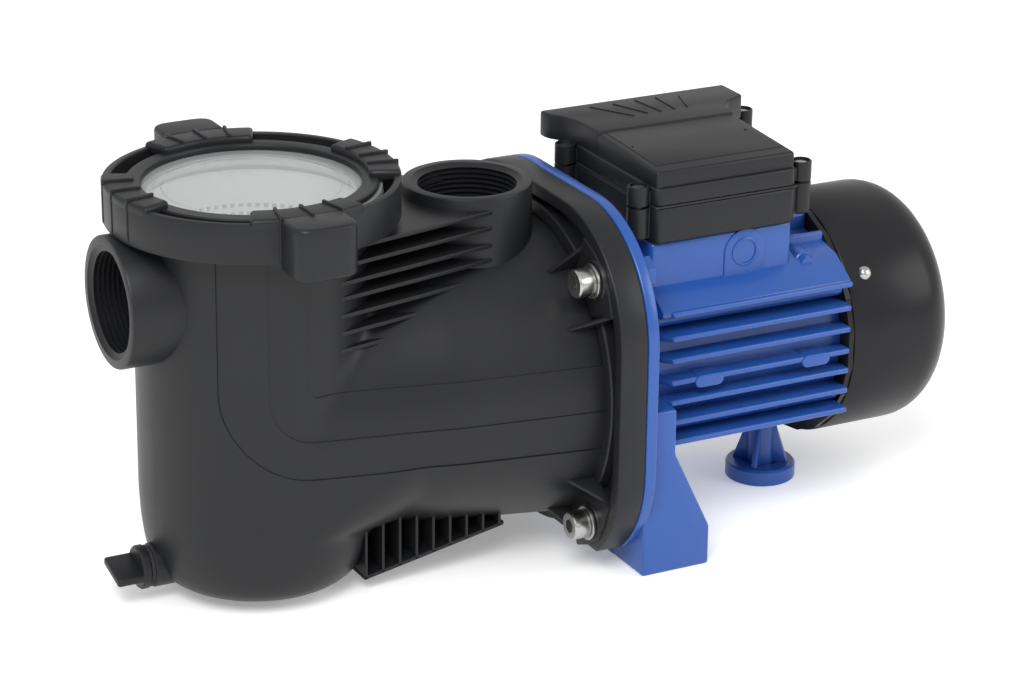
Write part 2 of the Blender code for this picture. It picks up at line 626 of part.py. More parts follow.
# Stator, windings, rotor and shaft
core = ring(ROTOR_R + 0.5, BORE_R - GAP, STATOR_FRONT, STATOR_REAR, AXIS_AT, "X", 22)
part("stator_core", core, STEEL)
for name, x in (("winding_front", STATOR_FRONT - GAP - WINDING), ("winding_rear", STATOR_REAR + GAP)):
    wide, thin = BORE_R - 3, ROTOR_R + 3.5
    coil = turned([(wide, x + WINDING - 3), (wide, x + 3), (wide - 3, x), (thin + 3, x), (thin, x + 3),
                   (thin, x + WINDING - 3), (thin + 3, x + WINDING), (wide - 3, x + WINDING)], AXIS_AT, "X", 22)
    part(name, coil, COPPER)
rotor = ring(SHAFT_R + SLIP, ROTOR_R, STATOR_FRONT, STATOR_REAR, AXIS_AT, "X", 22)
part("rotor_core", rotor, STEEL, AXIS_AT, shaft_axis)
shaft = turned([(0, SHAFT_TAIL), (SHAFT_END_R, SHAFT_TAIL), (SHAFT_END_R, SHAFT_REAR_STEP),
                (SHAFT_R, SHAFT_REAR_STEP), (SHAFT_R, SHAFT_STEP), (SHAFT_END_R, SHAFT_STEP),
                (SHAFT_END_R, SHAFT_TIP), (0, SHAFT_TIP)], AXIS_AT, "X", 12)
part("motor_shaft", shaft, STEEL, AXIS_AT, shaft_axis)
for name, x in (("front_bearing", FRONT_BEARING_X), ("rear_bearing", REAR_BEARING_X)):
    part(name, ring(SHAFT_R + GAP, BEARING_R, x, x + BEARING, AXIS_AT, "X", 22), STEEL)

# Rear shield
SHIELD_X = HOUSING_END + GAP
shield = rod(SHIELD_R, SHIELD_X, SHIELD_X + SHIELD, AXIS_AT, "X", 22)
join(shield, rod(22, REAR_BEARING_X - 0.5, SHIELD_X + 1, AXIS_AT, "X", 22))
join(shield, ring(SPIGOT_R - 4, SPIGOT_R, SHIELD_X + 1, SPIGOT_END, AXIS_AT, "X", 22))
cut(shield, rod(BEARING_R + SLIP, REAR_BEARING_X - 2, REAR_BEARING_X + BEARING + GAP, AXIS_AT, "X", 22))
cut(shield, rod(SHAFT_R + 0.5, REAR_BEARING_X, SPIGOT_END, AXIS_AT, "X"))
SCREW_AT = [(math.cos(math.radians(a)), math.sin(math.radians(a))) for a in COVER_SCREW_DEG]
for turn in COVER_SCREW_DEG:
    hole = rod(SCREW_R + SLIP, 48, 62, (COVER_SCREW_X, 0, AXIS_Z), "Y", 10)
    cut(shield, spun(hole, turn, AXIS_AT, "X"))
part("rear_shield", shield, BLUE)

# Fan, cover and its screws
fan = rod(FAN_R, FAN_X, FAN_X + 2, AXIS_AT, "X", 22)
join(fan, rod(12, FAN_X - 6, FAN_X + 16, AXIS_AT, "X", 12))
for index in range(8):
    vane = block(FAN_X + 1, FAN_X + 16, 9, FAN_R - 1, AXIS_Z - 1, AXIS_Z + 1)
    join(fan, spun(vane, 45 * index + 10, AXIS_AT, "X"))
cut(fan, rod(SHAFT_END_R + SLIP, FAN_X - 8, FAN_X + 20, AXIS_AT, "X"))
part("cooling_fan", fan, BLACK, AXIS_AT, shaft_axis)
outer = [(COVER_R - COVER_ROUND * (1 - math.cos(a)), COVER_END - COVER_ROUND * (1 - math.sin(a)))
         for a in [math.radians(90 - 30 * i) for i in range(4)]]
inner_round = COVER_ROUND - COVER_WALL
hollow = [(COVER_R - COVER_WALL - inner_round * (1 - math.cos(a)),
           COVER_END - COVER_WALL - inner_round * (1 - math.sin(a)))
          for a in [math.radians(30 * i) for i in range(4)]]
cover_side = [(0, COVER_END)] + outer + [(COVER_R, COVER_FRONT), (COVER_R - COVER_WALL, COVER_FRONT)]
cover = turned(cover_side + hollow + [(0, COVER_END - COVER_WALL)], AXIS_AT, "X", 28)
for index in range(3):
    z = AXIS_Z + 18 * (index - 1)
    half = 30 - 6 * abs(index - 1)
    cut(cover, block(COVER_END - 6, COVER_END + 4, -half, half, z - 2.5, z + 2.5))
for turn in COVER_SCREW_DEG:
    hole = rod(SCREW_R + SLIP, 50, 64, (COVER_SCREW_X, 0, AXIS_Z), "Y", 10)
    cut(cover, spun(hole, turn, AXIS_AT, "X"))
part("fan_cover", cover, SATIN)
for index, turn in enumerate(COVER_SCREW_DEG, 1):
    top = COVER_R + GAP
    screw = turned([(0, top + 2), (2.4, top + 2), (3.4, top + 0.8), (3.4, top), (SCREW_R, top), (SCREW_R, 53.5),
                    (0, 53.5)], (COVER_SCREW_X, 0, AXIS_Z), "Y", 10)
    part(f"fan_cover_screw_{index}", spun(screw, turn, AXIS_AT, "X"), STEEL)

# Tie rods
for index, (y, z) in enumerate([(y, z) for y in (-ROD_Y, ROD_Y) for z in ROD_Z], 1):
    part(f"tie_rod_{index}", rod(ROD_R, FLANGE_BACK - 2.7, SHIELD_X - SLIP, (0, y, z), "X", 12), STEEL)

# Terminal box
BOX_LOW = PAD_TOP + GAP
FLOOR = BOX_LOW + BOX_WALL
box = block(PAD_FRONT, PAD_REAR, -BOX_HALF, BOX_HALF, BOX_LOW, BOX_TOP)
for x, y in BOX_SCREWS:
    join(box, rod(EAR_R, EAR_LOW, BOX_TOP, (x, y, 0), "Z", 10))
    near = PAD_FRONT + 2 if x < (PAD_FRONT + PAD_REAR) / 2 else PAD_REAR - 2
    join(box, block(min(x, near), max(x, near), y - 3, y + 3, EAR_LOW, BOX_TOP))
inside = (PAD_FRONT + BOX_WALL, PAD_REAR - BOX_WALL, BOX_WALL - BOX_HALF, BOX_HALF - BOX_WALL)
cut(box, block(*inside, FLOOR, BOX_TOP + 2))
for x, y in BOX_SCREWS:
    cut(box, rod(SCREW_R + SLIP, BOX_TOP - 6, BOX_TOP + 2, (x, y, 0), "Z", 10))
GLAND = (281.0, 0.0, 156.2)
cut(box, rod(6 + SLIP, BOX_HALF - 6, BOX_HALF + 2, GLAND, "Y", 14))
part("terminal_box", box, BLACK)
seal = block(PAD_FRONT, PAD_REAR, -BOX_HALF, BOX_HALF, BOX_TOP + SLIP, BOX_TOP + SLIP + BOX_SEAL)
cut(seal, block(*inside, BOX_TOP - 2, BOX_TOP + 4))
part("box_gasket", seal, RUBBER)
LID_BASE = BOX_TOP + BOX_SEAL + 2 * SLIP
cover_lid = block(PAD_FRONT, PAD_REAR, -BOX_HALF, BOX_HALF, LID_BASE, LID_SKIRT_TOP)
hood = [(2 - BOX_HALF, LID_SKIRT_TOP - 1), (2 - BOX_HALF, LID_NEAR_TOP), (STRIP_Y + 2, LID_BACK_TOP - 0.5)]
join(cover_lid, slab(hood + [(STRIP_Y + 2, LID_SKIRT_TOP - 1)], PAD_FRONT + 1, PAD_REAR - 1, "X"))
strip = [(PAD_FRONT, STRIP_Y), (STRIP_REAR - 14, STRIP_Y), (STRIP_REAR, STRIP_Y + 9)]
strip += [(STRIP_REAR, BOX_HALF + 1.5), (STRIP_FRONT, BOX_HALF + 1.5), (STRIP_FRONT, BOX_HALF - 6), (PAD_FRONT, BOX_HALF - 12)]
join(cover_lid, slab(strip, LID_SKIRT_TOP - 1, LID_BACK_TOP))
for x, y in BOX_SCREWS:
    near = PAD_FRONT + 2 if x < (PAD_FRONT + PAD_REAR) / 2 else PAD_REAR - 2
    join(cover_lid, rod(EAR_R, LID_BASE, EAR_TOP, (x, y, 0), "Z", 10))
    join(cover_lid, block(min(x, near), max(x, near), y - 3, y + 3, LID_BASE, EAR_TOP - 0.6))
cut(cover_lid, block(*inside, LID_BASE - 2, LID_NEAR_TOP - BOX_WALL - 1.5))
for x, y in BOX_SCREWS:
    cut(cover_lid, rod(SCREW_R + SLIP, LID_BASE - 2, EAR_TOP + 2, (x, y, 0), "Z", 10))
part("terminal_box_lid", cover_lid, BLACK)
for index, (x, y) in enumerate(BOX_SCREWS, 1):
    top = EAR_TOP + SLIP
    screw = turned([(0, top + 2), (2.8, top + 2), (3.6, top + 1), (3.6, top), (SCREW_R, top),
                    (SCREW_R, BOX_TOP - 5.5), (0, BOX_TOP - 5.5)], (x, y, 0), "Z", 10)
    part(f"box_screw_{index}", screw, STEEL)
terminals = block(PAD_FRONT + 10, PAD_FRONT + 40, 16 - BOX_HALF, 44 - BOX_HALF, FLOOR + SLIP, FLOOR + 11)
part("terminal_block", terminals, WHITE)
can_r = 11.5
can_at = (0, BOX_HALF / 2, FLOOR + SLIP + can_r)
part("capacitor", rod(can_r, PAD_FRONT + 8, PAD_REAR - 8, can_at, "X", 12), WHITE)
gland = rod(8, BOX_HALF + GAP, BOX_HALF + 5, GLAND, "Y", 6)
join(gland, rod(6.8, BOX_HALF + 4, BOX_HALF + 14, GLAND, "Y", 14))
join(gland, rod(6, BOX_HALF - 6, BOX_HALF + 4, GLAND, "Y", 14))
cut(gland, rod(3.6, BOX_HALF - 9, BOX_HALF + 20, GLAND, "Y", 10))
part("cable_gland", gland, BLACK)

# Rear foot and its bolt
FOOT_AT = (FOOT_X, 0, 0)
STEM_TOP = AXIS_Z - CORE_R - GAP
foot = rod(FOOT_R, 0, FOOT_DISC, FOOT_AT, "Z", 24)
join(foot, rod(FOOT_STEM_R, FOOT_DISC - 1, STEM_TOP, FOOT_AT, "Z", 10))
gusset = [(-FOOT_R + 1, FOOT_DISC - 1), (FOOT_R - 1, FOOT_DISC - 1), (FOOT_STEM_R, STEM_TOP - 4)]
gusset.append((-FOOT_STEM_R, STEM_TOP - 4))
for turn in (45, 135):
    fin = slab(gusset, -1.5, 1.5, "Y")
    spun(fin, turn)
    fin.data.transform(Matrix.Translation((FOOT_X * MM, 0, 0)))
    join(foot, fin)
cut(foot, rod(6, -2, 7, FOOT_AT, "Z", 20))
cut(foot, rod(FOOT_BOLT_R + SLIP, -2, STEM_TOP + 2, FOOT_AT, "Z", 10))
part("rear_foot", foot, BLUE)
bolt = turned([(0, STEM_TOP + 5), (FOOT_BOLT_R, STEM_TOP + 5), (FOOT_BOLT_R, 7 - SLIP), (5, 7 - SLIP), (5, 2),
               (0, 2)], FOOT_AT, "Z", 10)
part("rear_foot_bolt", bolt, STEEL)
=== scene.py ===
# %% [markdown]
# # A pool pump, dressed
# The imported model gives every piece its place. This lesson loads it as a fixed frame and
# makes smooth, finished pieces over the faceted solids. The box of the bare solids is kept first.

# %% Load the frame
import json
import math

import bmesh
import bpy
from mathutils import Matrix, Vector


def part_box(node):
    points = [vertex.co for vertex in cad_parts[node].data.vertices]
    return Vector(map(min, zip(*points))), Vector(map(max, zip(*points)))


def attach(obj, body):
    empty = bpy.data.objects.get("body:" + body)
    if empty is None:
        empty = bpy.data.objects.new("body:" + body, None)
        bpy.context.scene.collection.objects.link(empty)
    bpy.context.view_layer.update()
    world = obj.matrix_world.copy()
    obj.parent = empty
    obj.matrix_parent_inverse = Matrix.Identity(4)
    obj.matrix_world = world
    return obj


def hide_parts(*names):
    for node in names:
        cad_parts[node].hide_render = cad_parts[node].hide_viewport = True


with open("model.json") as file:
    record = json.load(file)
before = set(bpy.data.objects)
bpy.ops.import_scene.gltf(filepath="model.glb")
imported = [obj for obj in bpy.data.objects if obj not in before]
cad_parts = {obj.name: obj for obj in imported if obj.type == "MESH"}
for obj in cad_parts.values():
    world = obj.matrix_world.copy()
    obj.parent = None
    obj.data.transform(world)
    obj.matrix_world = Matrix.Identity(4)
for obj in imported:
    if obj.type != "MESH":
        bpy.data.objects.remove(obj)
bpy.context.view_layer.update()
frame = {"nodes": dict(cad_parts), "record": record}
MM = 0.001
SUCTION_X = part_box("pump_body")[0][0] / MM
print("nodes", len(frame["nodes"]), "suction face at x =", round(SUCTION_X, 2), "mm")

# %% [markdown]
# ## Sizes
# All sizes are in millimetres, with x counted from the suction face. A few driving sizes
# come straight from the boxes of the solids, so the dress can't drift away from them.

# %% Sizes read from the frame


def span(node, axis):
    low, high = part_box(node)
    shift = SUCTION_X if axis == 0 else 0
    return low[axis] / MM - shift, high[axis] / MM - shift


def middle(node, axis):
    return sum(span(node, axis)) / 2


AXIS_Z = middle("motor_shaft", 2)
POT_X = middle("strainer_lid", 0)
FLANGE_REAR = span("pump_body", 0)[1]
MOTOR_FACE, LEG_REAR = span("motor_flange", 0)
HOUSING_X, HOUSING_END = span("motor_housing", 0)
COVER_FRONT, COVER_END = span("fan_cover", 0)
LID_TOP = span("strainer_lid", 2)[1]
FLANGE_HALF = span("motor_flange", 1)[1]
PORT_R = 29.5
PORT_BORE_R = 22.4
SUCTION_Z = 143.5
DISCHARGE_X = 173.0
DISCHARGE_TOP = 175.0
POT_R = 53.0
for label, value in (("shaft height", AXIS_Z), ("pot axis", POT_X), ("rear of flange", FLANGE_REAR)):
    print(label, round(value, 2))

# %% [markdown]
# ## Camera
# The photograph was taken with a long lens from the suction side, a little above the pump.
# The bearing, height and focal length below were solved from edges of known direction.

# %% Camera
BEARING, PITCH, ROLL = (math.radians(a) for a in (27.79, 21.17, 0.72))
FOCAL, SENSOR = 116.785, 36
EYE_X, EYE_Y, EYE_Z = -470.60, -1266.67, 646.45
right = Vector((math.cos(BEARING), -math.sin(BEARING), 0))
ahead = Vector((math.sin(BEARING) * math.cos(PITCH), math.cos(BEARING) * math.cos(PITCH), -math.sin(PITCH)))
above = right.cross(ahead)
hold, lean = math.cos(ROLL), math.sin(ROLL)
right, above = hold * right + lean * above, hold * above - lean * right
lens = bpy.data.cameras.new("camera")
lens.lens = FOCAL
lens.sensor_width = SENSOR
camera = bpy.data.objects.new("camera", lens)
turn = Matrix((right, above, -ahead)).transposed().to_4x4()
EYE = Vector((EYE_X + SUCTION_X, EYE_Y, EYE_Z)) * MM
camera.matrix_world = Matrix.Translation(EYE) @ turn
bpy.context.scene.collection.objects.link(camera)
bpy.context.scene.camera = camera
print("camera at", [round(v, 3) for v in EYE])

# %% [markdown]
# ## Shared effects
# Moulded plastic and enamel are never quite even. One group makes a fine grain, with a
# slow drift of tone, and gives a colour factor, a roughness and a height for a Bump node.

# %% Grain group
GRAIN_INPUTS = (("Grain Scale", 900.0), ("Drift Scale", 14.0), ("Base Roughness", 0.4), ("Spread", 0.1))


def grain_group():
    tree = bpy.data.node_groups.new("moulded_grain", "ShaderNodeTree")
    face = tree.interface
    for name, value in GRAIN_INPUTS:
        face.new_socket(name, in_out="INPUT", socket_type="NodeSocketFloat").default_value = value
    for name in ("Tone", "Roughness", "Height"):
        face.new_socket(name, in_out="OUTPUT", socket_type="NodeSocketFloat")
    nodes, links = tree.nodes, tree.links
    begin = nodes.new("NodeGroupInput")
    end = nodes.new("NodeGroupOutput")
    place = nodes.new("ShaderNodeTexCoord")
    fine = nodes.new("ShaderNodeTexNoise")
    slow = nodes.new("ShaderNodeTexNoise")
    fine.inputs["Detail"].default_value = 2
    for noise, scale in ((fine, "Grain Scale"), (slow, "Drift Scale")):
        links.new(place.outputs["Object"], noise.inputs["Vector"])
        links.new(begin.outputs[scale], noise.inputs["Scale"])
    rough = nodes.new("ShaderNodeMath")
    rough.operation = "MULTIPLY_ADD"
    links.new(slow.outputs["Fac"], rough.inputs[0])
    links.new(begin.outputs["Spread"], rough.inputs[1])
    links.new(begin.outputs["Base Roughness"], rough.inputs[2])
    links.new(slow.outputs["Fac"], end.inputs["Tone"])
    links.new(rough.outputs[0], end.inputs["Roughness"])
    links.new(fine.outputs["Fac"], end.inputs["Height"])
    return tree


GRAIN = grain_group()
print("grain nodes", len(GRAIN.nodes))

# %% [markdown]
# Every finish is a Principled shader with the grain group feeding its colour, roughness and
# bump. Two tones are written for each: the grain drifts from one to the other.

# %% Finishes


def finish(name, dark, light, roughness, grain=900.0, bump=0.00004, spread=0.12, metal=0.0, **plain):
    material = bpy.data.materials.new(name)
    material.use_nodes = True
    nodes, links = material.node_tree.nodes, material.node_tree.links
    shader = nodes["Principled BSDF"]
    group = nodes.new("ShaderNodeGroup")
    group.node_tree = GRAIN
    group.inputs["Grain Scale"].default_value = grain
    group.inputs["Base Roughness"].default_value = roughness - spread / 2
    group.inputs["Spread"].default_value = spread
    tone = nodes.new("ShaderNodeMix")
    tone.data_type = "RGBA"
    tone.inputs["A"].default_value = (*dark, 1)
    tone.inputs["B"].default_value = (*light, 1)
    relief = nodes.new("ShaderNodeBump")
    relief.inputs["Distance"].default_value = bump
    links.new(group.outputs["Tone"], tone.inputs["Factor"])
    links.new(tone.outputs["Result"], shader.inputs["Base Color"])
    links.new(group.outputs["Roughness"], shader.inputs["Roughness"])
    links.new(group.outputs["Height"], relief.inputs["Height"])
    links.new(relief.outputs["Normal"], shader.inputs["Normal"])
    shader.inputs["Metallic"].default_value = metal
    for key, value in plain.items():
        shader.inputs[key.replace("_", " ")].default_value = value
    return material


BLACK = finish("charcoal_plastic", (0.008, 0.0084, 0.0095), (0.014, 0.0145, 0.016), 0.40,
               Specular_IOR_Level=0.28)
SATIN = finish("fan_cover_black", (0.010, 0.010, 0.011), (0.016, 0.016, 0.018), 0.30,
               bump=0.00002, Specular_IOR_Level=0.2)
BLUE = finish("blue_enamel", (0.012, 0.062, 0.27), (0.018, 0.080, 0.32), 0.28, grain=260.0, bump=0.00006)
STEEL = finish("turned_stainless", (0.38, 0.38, 0.37), (0.52, 0.52, 0.50), 0.28, grain=500.0, metal=1.0)
CORE = finish("core_steel", (0.28, 0.28, 0.29), (0.40, 0.40, 0.41), 0.45, grain=700.0, metal=1.0)
COPPER = finish("copper_wire", (0.55, 0.24, 0.10), (0.72, 0.36, 0.18), 0.38, grain=400.0, metal=1.0)
WHITE = finish("white_plastic", (0.74, 0.74, 0.71), (0.82, 0.82, 0.80), 0.40)
RUBBER = finish("seal_rubber", (0.010, 0.010, 0.010), (0.018, 0.018, 0.018), 0.75, bump=0.0001)
CLEAR = finish("clear_lid", (0.70, 0.72, 0.72), (0.76, 0.78, 0.78), 0.10,
               bump=0.00001, spread=0.04, Alpha=0.30)
print("finishes", len(bpy.data.materials))

# %% [markdown]
# The solids that stay on show, or stay inside, take these finishes by the slot that the
# record gives them. Nothing of their shape is touched.

# %% Finish the solids
SLOT_FINISH = {
    "black_plastic": BLACK, "blue_enamel": BLUE, "fan_cover_black": SATIN, "stainless_steel": STEEL,
    "core_steel": CORE, "copper_wire": COPPER, "white_plastic": WHITE, "clear_plastic": CLEAR,
    "seal_rubber": RUBBER,
}
SLOT_OF = {row["node"]: row["material_slot"] for row in frame["record"]["subparts"]}
for name, obj in frame["nodes"].items():
    obj.data.materials.clear()
    obj.data.materials.append(SLOT_FINISH[SLOT_OF[name]])
print("slots in use", sorted(set(SLOT_OF.values())))

# %% [markdown]
# ## Tools for shapes
# Most pieces of a pump are either turned or cut from plate. `lathe` spins a profile of radius
# and height about an axis, and `cylinder` is its plainest case. Both return a bmesh in millimetres,
# which is quick to build from code and needs no selecting or editing by hand.

# %% Turned shapes
TO_X = Matrix(((0, 0, 1, 0), (0, 1, 0, 0), (-1, 0, 0, 0), (0, 0, 0, 1)))
TO_Y = Matrix(((1, 0, 0, 0), (0, 0, 1, 0), (0, -1, 0, 0), (0, 0, 0, 1)))
LIE = {"X": TO_X, "Y": TO_Y, "Z": Matrix.Identity(4)}
STAND = {
    "X": Matrix(((0, 0, 1, 0), (1, 0, 0, 0), (0, 1, 0, 0), (0, 0, 0, 1))),
    "Y": Matrix(((1, 0, 0, 0), (0, 0, -1, 0), (0, 1, 0, 0), (0, 0, 0, 1))),
    "Z": Matrix.Identity(4),
}


def lathe(profile, at=(0, 0, 0), axis="Z", steps=96):
    bm = bmesh.new()
    rings = []
    for radius, height in profile:
        angles = [math.tau * i / steps for i in range(1 if radius == 0 else steps)]
        rings.append([bm.verts.new((radius * math.cos(a), radius * math.sin(a), height)) for a in angles])
    pairs = list(zip(rings, rings[1:]))
    if profile[0][0] > 0:
        pairs.append((rings[-1], rings[0]))
    for upper, lower in pairs:
        for i in range(steps):
            j = (i + 1) % steps
            corners = (upper, i), (lower, i), (lower, j), (upper, j)
            unique = list(dict.fromkeys(line[k % len(line)] for line, k in corners))
            if len(unique) > 2:
                bm.faces.new(unique)
    bmesh.ops.recalc_face_normals(bm, faces=bm.faces)
    bm.transform(Matrix.Translation(at) @ LIE[axis])
    return bm


def cylinder(radius, low, high, at=(0, 0, 0), axis="Z", steps=96):
    return lathe([(0, high), (radius, high), (radius, low), (0, low)], at, axis, steps)


print("a lathe can lie along", sorted(LIE))

# %% [markdown]
# `plate` gives an outline a thickness and a small rounded edge, and `bar` is a plate with four
# corners. `hull` wraps points in the tightest skin without dents. `turned` turns a shape where it
# is, and `flipped` returns its mirror image on the other side of the pump.

# %% Plates, bars and hulls


def soften(bm, bend, offset, segments):
    sharp = [e for e in bm.edges if e.calc_face_angle(0) > bend]
    bmesh.ops.bevel(bm, geom=sharp, offset=offset, segments=segments, profile=0.5,
                    affect="EDGES", clamp_overlap=True)


def plate(outline, low, high, axis="Z", edge=0.8, segments=2):
    bm = bmesh.new()
    face = bm.faces.new([bm.verts.new((a, b, low)) for a, b in outline])
    grown = bmesh.ops.extrude_face_region(bm, geom=[face])
    lifted = [g for g in grown["geom"] if isinstance(g, bmesh.types.BMVert)]
    bmesh.ops.translate(bm, verts=lifted, vec=(0, 0, high - low))
    bmesh.ops.recalc_face_normals(bm, faces=bm.faces)
    if edge:
        soften(bm, 0.35, edge, segments)
    if axis == "Y":
        bm.transform(Matrix.Scale(-1, 4, (0, 0, 1)))
        bmesh.ops.reverse_faces(bm, faces=bm.faces)
    bm.transform(STAND[axis])
    return bm


def bar(x0, x1, y0, y1, z0, z1, edge=0.8, segments=2):
    return plate([(x0, y0), (x1, y0), (x1, y1), (x0, y1)], z0, z1, "Z", edge, segments)


def hull(points):
    bm = bmesh.new()
    for point in points:
        bm.verts.new(point)
    spare = bmesh.ops.convex_hull(bm, input=bm.verts)
    bmesh.ops.delete(bm, geom=list(set(spare["geom_interior"] + spare["geom_unused"])), context="VERTS")
    bmesh.ops.recalc_face_normals(bm, faces=bm.faces)
    return bm


def turned(bm, degrees, at=(0, 0, 0), axis="Z"):
    pivot = Matrix.Translation(at)
    bm.transform(pivot @ Matrix.Rotation(math.radians(degrees), 4, axis) @ pivot.inverted())
    return bm


def flipped(bm):
    copy = bm.copy()
    copy.transform(Matrix.Scale(-1, 4, (0, 1, 0)))
    bmesh.ops.reverse_faces(copy, faces=copy.faces)
    return copy


print("a plate can stand along", sorted(STAND))

# %% [markdown]
# `raw` makes one object of several shapes, in metres and at the frame's origin. Modifiers such as a
# Boolean are `applied` at once, so each piece ends as a plain mesh. `piece` gives it its finish, sets
# smooth shading up to an angle, hangs it on an empty for the body it rides on and hides the nodes it
# replaces.

# %% Object tools


def raw(name, *shapes):
    whole = bmesh.new()
    for bm in shapes:
        part = bpy.data.meshes.new(name)
        bm.to_mesh(part)
        whole.from_mesh(part)
        bpy.data.meshes.remove(part)
        bm.free()
    whole.transform(Matrix.Diagonal((MM, MM, MM, 1)) @ Matrix.Translation((SUCTION_X, 0, 0)))
    mesh = bpy.data.meshes.new(name)
    whole.to_mesh(mesh)
    whole.free()
    obj = bpy.data.objects.new(name, mesh)
    bpy.context.scene.collection.objects.link(obj)
    return obj


def applied(obj):
    graph = bpy.context.evaluated_depsgraph_get()
    mesh = bpy.data.meshes.new_from_object(obj.evaluated_get(graph))
    obj.modifiers.clear()
    obj.data = mesh
    return obj


def carved(obj, *cutters):
    for cutter in cutters:
        carve = obj.modifiers.new("carve", "BOOLEAN")
        carve.operation = "DIFFERENCE"
        carve.solver = "EXACT"
        carve.object = cutter
        applied(obj)
    return obj


def dropped(*objects):
    for obj in objects:
        bpy.data.objects.remove(obj, do_unlink=True)


def piece(obj, material, body, *nodes, angle=32):
    obj.data.materials.clear()
    obj.data.materials.append(material)
    obj.data.shade_smooth()
    obj.data.set_sharp_from_angle(angle=math.radians(angle))
    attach(obj, body)
    if nodes:
        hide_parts(*nodes)
    return obj


def joined(main, *others):
    whole = bmesh.new()
    for obj in (main, *others):
        whole.from_mesh(obj.data)
    mesh = bpy.data.meshes.new(main.name)
    whole.to_mesh(mesh)
    whole.free()
    main.data = mesh
    dropped(*others)
    return main


# %% [markdown]
# ## Repeats
# Fins, ribs and grip ridges repeat along a line or around an axis. A Geometry Nodes tree
# does both: each copy is moved by a step and turned by an angle times its own number.

# %% Repeat tree


def repeat_tree():
    tree = bpy.data.node_groups.new("repeat", "GeometryNodeTree")
    face = tree.interface
    face.new_socket("Geometry", in_out="INPUT", socket_type="NodeSocketGeometry")
    count = face.new_socket("Count", in_out="INPUT", socket_type="NodeSocketInt")
    step = face.new_socket("Step", in_out="INPUT", socket_type="NodeSocketVector")
    turn_by = face.new_socket("Turn", in_out="INPUT", socket_type="NodeSocketVector")
    paint = face.new_socket("Material", in_out="INPUT", socket_type="NodeSocketMaterial")
    face.new_socket("Geometry", in_out="OUTPUT", socket_type="NodeSocketGeometry")
    nodes, links = tree.nodes, tree.links
    begin, end = nodes.new("NodeGroupInput"), nodes.new("NodeGroupOutput")
    points = nodes.new("GeometryNodeMeshLine")
    spread = nodes.new("GeometryNodeInstanceOnPoints")
    number = nodes.new("GeometryNodeInputIndex")
    scaled = nodes.new("ShaderNodeVectorMath")
    scaled.operation = "SCALE"
    real = nodes.new("GeometryNodeRealizeInstances")
    coat = nodes.new("GeometryNodeSetMaterial")
    links.new(begin.outputs["Count"], points.inputs["Count"])
    links.new(begin.outputs["Step"], points.inputs["Offset"])
    links.new(points.outputs["Mesh"], spread.inputs["Points"])
    links.new(begin.outputs["Geometry"], spread.inputs["Instance"])
    links.new(begin.outputs["Turn"], scaled.inputs[0])
    links.new(number.outputs["Index"], scaled.inputs["Scale"])
    links.new(scaled.outputs["Vector"], spread.inputs["Rotation"])
    links.new(spread.outputs["Instances"], real.inputs["Geometry"])
    links.new(real.outputs["Geometry"], coat.inputs["Geometry"])
    links.new(begin.outputs["Material"], coat.inputs["Material"])
    links.new(coat.outputs["Geometry"], end.inputs["Geometry"])
    return tree, count.identifier, step.identifier, turn_by.identifier, paint.identifier


REPEAT, COUNT_ID, STEP_ID, TURN_ID, PAINT_ID = repeat_tree()
print("repeat nodes", len(REPEAT.nodes))

# %% [markdown]
# `repeated` runs the tree on one shape and keeps the result as a plain mesh. The tree turns about the
# origin, so a shape that turns about another axis is moved there first, and moved back afterwards.

# %% Repeat helper


def repeated(bm, name, count, material, step=(0, 0, 0), turn_deg=(0, 0, 0), about=None):
    if about:
        bm.transform(Matrix.Translation(-Vector(about)))
    bm.transform(Matrix.Diagonal((MM, MM, MM, 1)))
    mesh = bpy.data.meshes.new(name)
    bm.to_mesh(mesh)
    bm.free()
    obj = bpy.data.objects.new(name, mesh)
    bpy.context.scene.collection.objects.link(obj)
    copies = obj.modifiers.new("repeat", "NODES")
    copies.node_group = REPEAT
    copies[COUNT_ID] = count
    copies[STEP_ID] = [s * MM for s in step]
    copies[TURN_ID] = [math.radians(a) for a in turn_deg]
    copies[PAINT_ID] = material
    applied(obj)
    pivot = Vector(about or (0, 0, 0)) + Vector((SUCTION_X, 0, 0))
    obj.data.transform(Matrix.Translation(pivot * MM))
    return obj


print("node groups", sorted(group.name for group in bpy.data.node_groups))

# %% [markdown]
# ## Pump body
# The real body is one moulding: an upright pot that flows into a tapered barrel. Two turned shapes,
# and a hull that fills the elbow between them, are merged by a voxel remesh and a smoothing. That
# leaves the soft fillet of a mould. The hollows are cut afterwards, so that their edges stay crisp.

# %% Pot and barrel
AXIS_AT = (0, 0, AXIS_Z)
POT_AT = (POT_X, 0, 0)
COLLAR_R, COLLAR_TOP = 59, 184.0
ELBOW_X, ELBOW_R, ELBOW_SIDES = 125, 61.8, 48
VOXEL = 1.7
pot = [(0, COLLAR_TOP), (COLLAR_R, COLLAR_TOP), (COLLAR_R, 174.5), (POT_R, 173), (POT_R, 47)]
pot += [(52.3, 34), (51, 24), (49, 16), (46, 10), (41, 6), (34, 4.3), (0, 4)]
barrel = [(0, 211), (72.4, 211), (72, 205), (68.5, 172), (65, 140), (60, 115), (54, 80), (51, 64), (0, 64)]
# Only the lower half of the barrel's ring goes into the elbow, which fills the underside.
elbow = []
for step in range(ELBOW_SIDES):
    a, b = math.cos(math.tau * step / ELBOW_SIDES), math.sin(math.tau * step / ELBOW_SIDES)
    elbow += [(POT_X + 52 * a, 52 * b, 34), (POT_X + 52.8 * a, 52.8 * b, AXIS_Z)]
    if b < 0.1:
        elbow.append((ELBOW_X, ELBOW_R * a, AXIS_Z + ELBOW_R * b))
body = raw("pump_moulding", lathe(pot, POT_AT, "Z", 128), lathe(barrel, AXIS_AT, "X", 128), hull(elbow))


